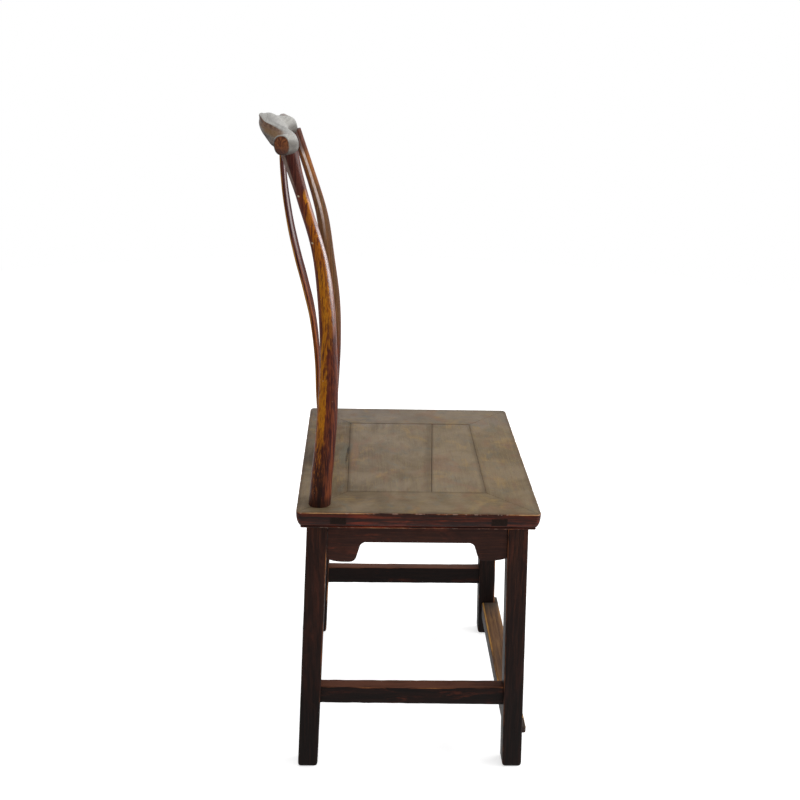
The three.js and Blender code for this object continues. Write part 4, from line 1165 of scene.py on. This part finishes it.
def splat_tree():
    """Inputs are the board's sizes; a profile is swept up a straight line, worn, and bent."""
    group = bpy.data.node_groups.new("splat_shape", "GeometryNodeTree")
    group.interface.new_socket("Geometry", in_out="INPUT", socket_type="NodeSocketGeometry")
    for name, value in splat_inputs.items():
        socket = group.interface.new_socket(name, in_out="INPUT", socket_type="NodeSocketFloat")
        socket.default_value = value
    group.interface.new_socket("Geometry", in_out="OUTPUT", socket_type="NodeSocketGeometry")
    tree = Network(group)
    given = {name: tree.node("NodeGroupInput", output=name) for name in ("Geometry", *splat_inputs)}

    def shape(kind, settings=None, **sockets):
        """A node by its kind's plain name, with sockets named by words joined up."""
        return tree.node("GeometryNode" + kind, settings,
                         {name.replace("_", " "): value for name, value in sockets.items()})

    def vectors(operation, first, second):
        """Vector maths on two vectors, or on one and the number that scales it."""
        socket = "Scale" if operation == "SCALE" else 1
        return tree.node("ShaderNodeVectorMath", {"operation": operation}, {0: first, socket: second})

    outline = shape("CurvePrimitiveQuadrilateral", {"mode": "RECTANGLE"}, Width=given["Width"],
                    Height=given["Thickness"])
    rounded = shape("FilletCurve", {"mode": "POLY"}, Curve=outline, Radius=given["Arris"], Count=4)
    rim = shape("ResampleCurve", {"mode": "LENGTH"}, Curve=rounded, Length=splat_edge_step)
    path = shape("ResampleCurve", {"mode": "COUNT"}, Curve=given["Geometry"], Count=splat_steps)
    upright = shape("SetCurveNormal", {"mode": "MINIMUM_TWIST"}, Curve=path)
    board = shape("CurveToMesh", Curve=upright, Profile_Curve=rim, Fill_Caps=True)
    place = shape("InputPosition")
    x, y, z = tree.axes(place)
    at_side = (abs(x) / given["Width"]).step(0.47, 0.49)
    depth = y / given["Thickness"]
    at_back, at_front = depth.step(-0.1, 0.25), depth.step(-0.25, -0.42) * 0.35
    board = shape("StoreNamedAttribute", {"data_type": "FLOAT", "domain": "POINT"}, Geometry=board,
                  Name="wear", Value=at_side * at_back.maths("MAXIMUM", at_back, at_front))
    share = (z - given["Foot height"]) / given["Rise"]
    back = side_view(tree, share) * given["Lean"] + x * given["Twist"] * share + given["Foot place"]
    bend = tree.node("ShaderNodeCombineXYZ", None, {"Y": back})
    ripple = tree.node("ShaderNodeTexNoise", None, {
        "Vector": vectors("MULTIPLY", place, (1, 1, 0.3)), "Scale": 30, "Detail": 2})
    push = vectors("SCALE", shape("InputNormal"), (ripple - 0.5) * given["Unevenness"])
    board = shape("SetPosition", Geometry=board, Offset=vectors("ADD", bend, push))
    board = shape("RealizeInstances", Geometry=board)
    board = shape("SetMaterial", Geometry=board, Material=plum)
    tree.node("NodeGroupOutput", None, {0: board})
    return group


def splat():
    """The board from the foot in the seat's back rail to its end in the crest rail."""
    line = bpy.data.curves.new("splat_path", "CURVE")
    line.dimensions = "3D"
    spline = line.splines.new("POLY")
    spline.points.add(1)
    spline.points[0].co = (0, 0, seat_height - 15 * mm, 1)
    spline.points[1].co = (0, 0, crest_height - 6 * mm, 1)
    holder = new_object("splat_path", line)
    shape = holder.modifiers.new("shape", "NODES")
    shape.node_group = splat_tree()
    for item in shape.node_group.interface.items_tree:
        if item.name == "Foot place" and item.in_out == "INPUT":
            shape[item.identifier] = middle_y + seat_depth / 2 - splat_inset
    bpy.context.view_layer.update()
    evaluated = holder.evaluated_get(bpy.context.evaluated_depsgraph_get())
    mesh = bpy.data.meshes.new_from_object(evaluated)
    holder.modifiers.clear()
    bpy.data.objects.remove(holder)
    finish_mesh("splat_worn", mesh, plum, ["splat"], 50)


splat()


# Battens and the footrest's apron keep their CAD solids and get a finish

for node, grain in {"seat_batten_right": "Y", "seat_batten_left": "Y", "footrest_apron": "X"}.items():
    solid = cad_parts[node]
    solid.data.materials.clear()
    solid.data.materials.append(dark[grain])


# Floor and studio: both look white, and light the chair with less than they show

floor_glow, floor_radius, floor_sides, studio_light = 0.62, 4, 96, 0.55


def pale_floor():
    """Pale grey with a glow that only the camera and reflections see."""
    finish = Finish("pale_floor")
    matt = finish.node("ShaderNodeBsdfDiffuse", None, {"Color": tone("dcdcdc")})
    glow = finish.node("ShaderNodeEmission", None, {"Color": tone("ffffff"), "Strength": floor_glow})
    lit = finish.node("ShaderNodeAddShader", None, {0: matt, 1: glow})
    mixed = finish.node("ShaderNodeMixShader", None, {0: finish.seen(), 1: matt, 2: lit})
    finish.node("ShaderNodeOutputMaterial", None, {"Surface": mixed})
    return finish.material


floor_mesh = bpy.data.meshes.new("floor")
turns = [turn / floor_sides * 2 * pi for turn in range(floor_sides)]
floor_mesh.from_pydata([(floor_radius * cos(turn), floor_radius * sin(turn), 0) for turn in turns], [],
                       [tuple(range(floor_sides))])
floor_mesh.materials.append(pale_floor())
new_object("floor", floor_mesh)

world = bpy.data.worlds.new("studio")
bpy.context.scene.world = world
world.use_nodes = True
studio = Network(world.node_tree)
strength = studio.node("ShaderNodeMapRange", None, {
    "Value": studio.seen(), "To Min": studio_light, "To Max": 1})
background = studio.node("ShaderNodeBackground", None, {"Color": tone("ffffff"), "Strength": strength})
studio.node("ShaderNodeOutputWorld", None, {"Surface": background})


# Lamps

def lamp(name, place, target, width, height, power):
    """A soft rectangle of light at a place, turned to a target."""
    light = bpy.data.lights.new(name, "AREA")
    light.shape, light.size, light.size_y, light.energy = "RECTANGLE", width, height, power
    holder = new_object(name, light)
    holder.location = place
    holder.rotation_euler = (Vector(target) - Vector(place)).to_track_quat("-Z", "Y").to_euler()


lamp("overhead", (0.2, -0.2, 3.0), (0, 0, 0.5), 2.4, 2.4, 28)
lamp("window", (0.0, -3.0, 1.25), (0, 0, 0.95), 3.2, 1.9, 125)


# Camera, as solved from the chair's own corners and edges in the photo

photo_width, focal_px, sensor_width = 800, 1032, 36
yaw, pitch, roll = 0.03991, 0.35222, 0.02785
camera_place = Vector((-1.74396, 0.09663 + middle_y, 1.25847))

camera_data = bpy.data.cameras.new("camera")
camera_data.sensor_width = sensor_width
camera_data.lens = focal_px / photo_width * sensor_width
camera = new_object("camera", camera_data)
look = Vector((cos(pitch) * cos(yaw), -cos(pitch) * sin(yaw), -sin(pitch)))
level = look.cross(Vector((0, 0, 1))).normalized()
down = look.cross(level)
right = level * cos(roll) - down * sin(roll)
up = -(level * sin(roll) + down * cos(roll))
turned = Matrix((right, up, -look)).transposed().to_4x4()
turned.translation = camera_place
camera.matrix_world = turned
bpy.context.scene.camera = camera
bpy.context.scene.view_settings.view_transform = "Standard"
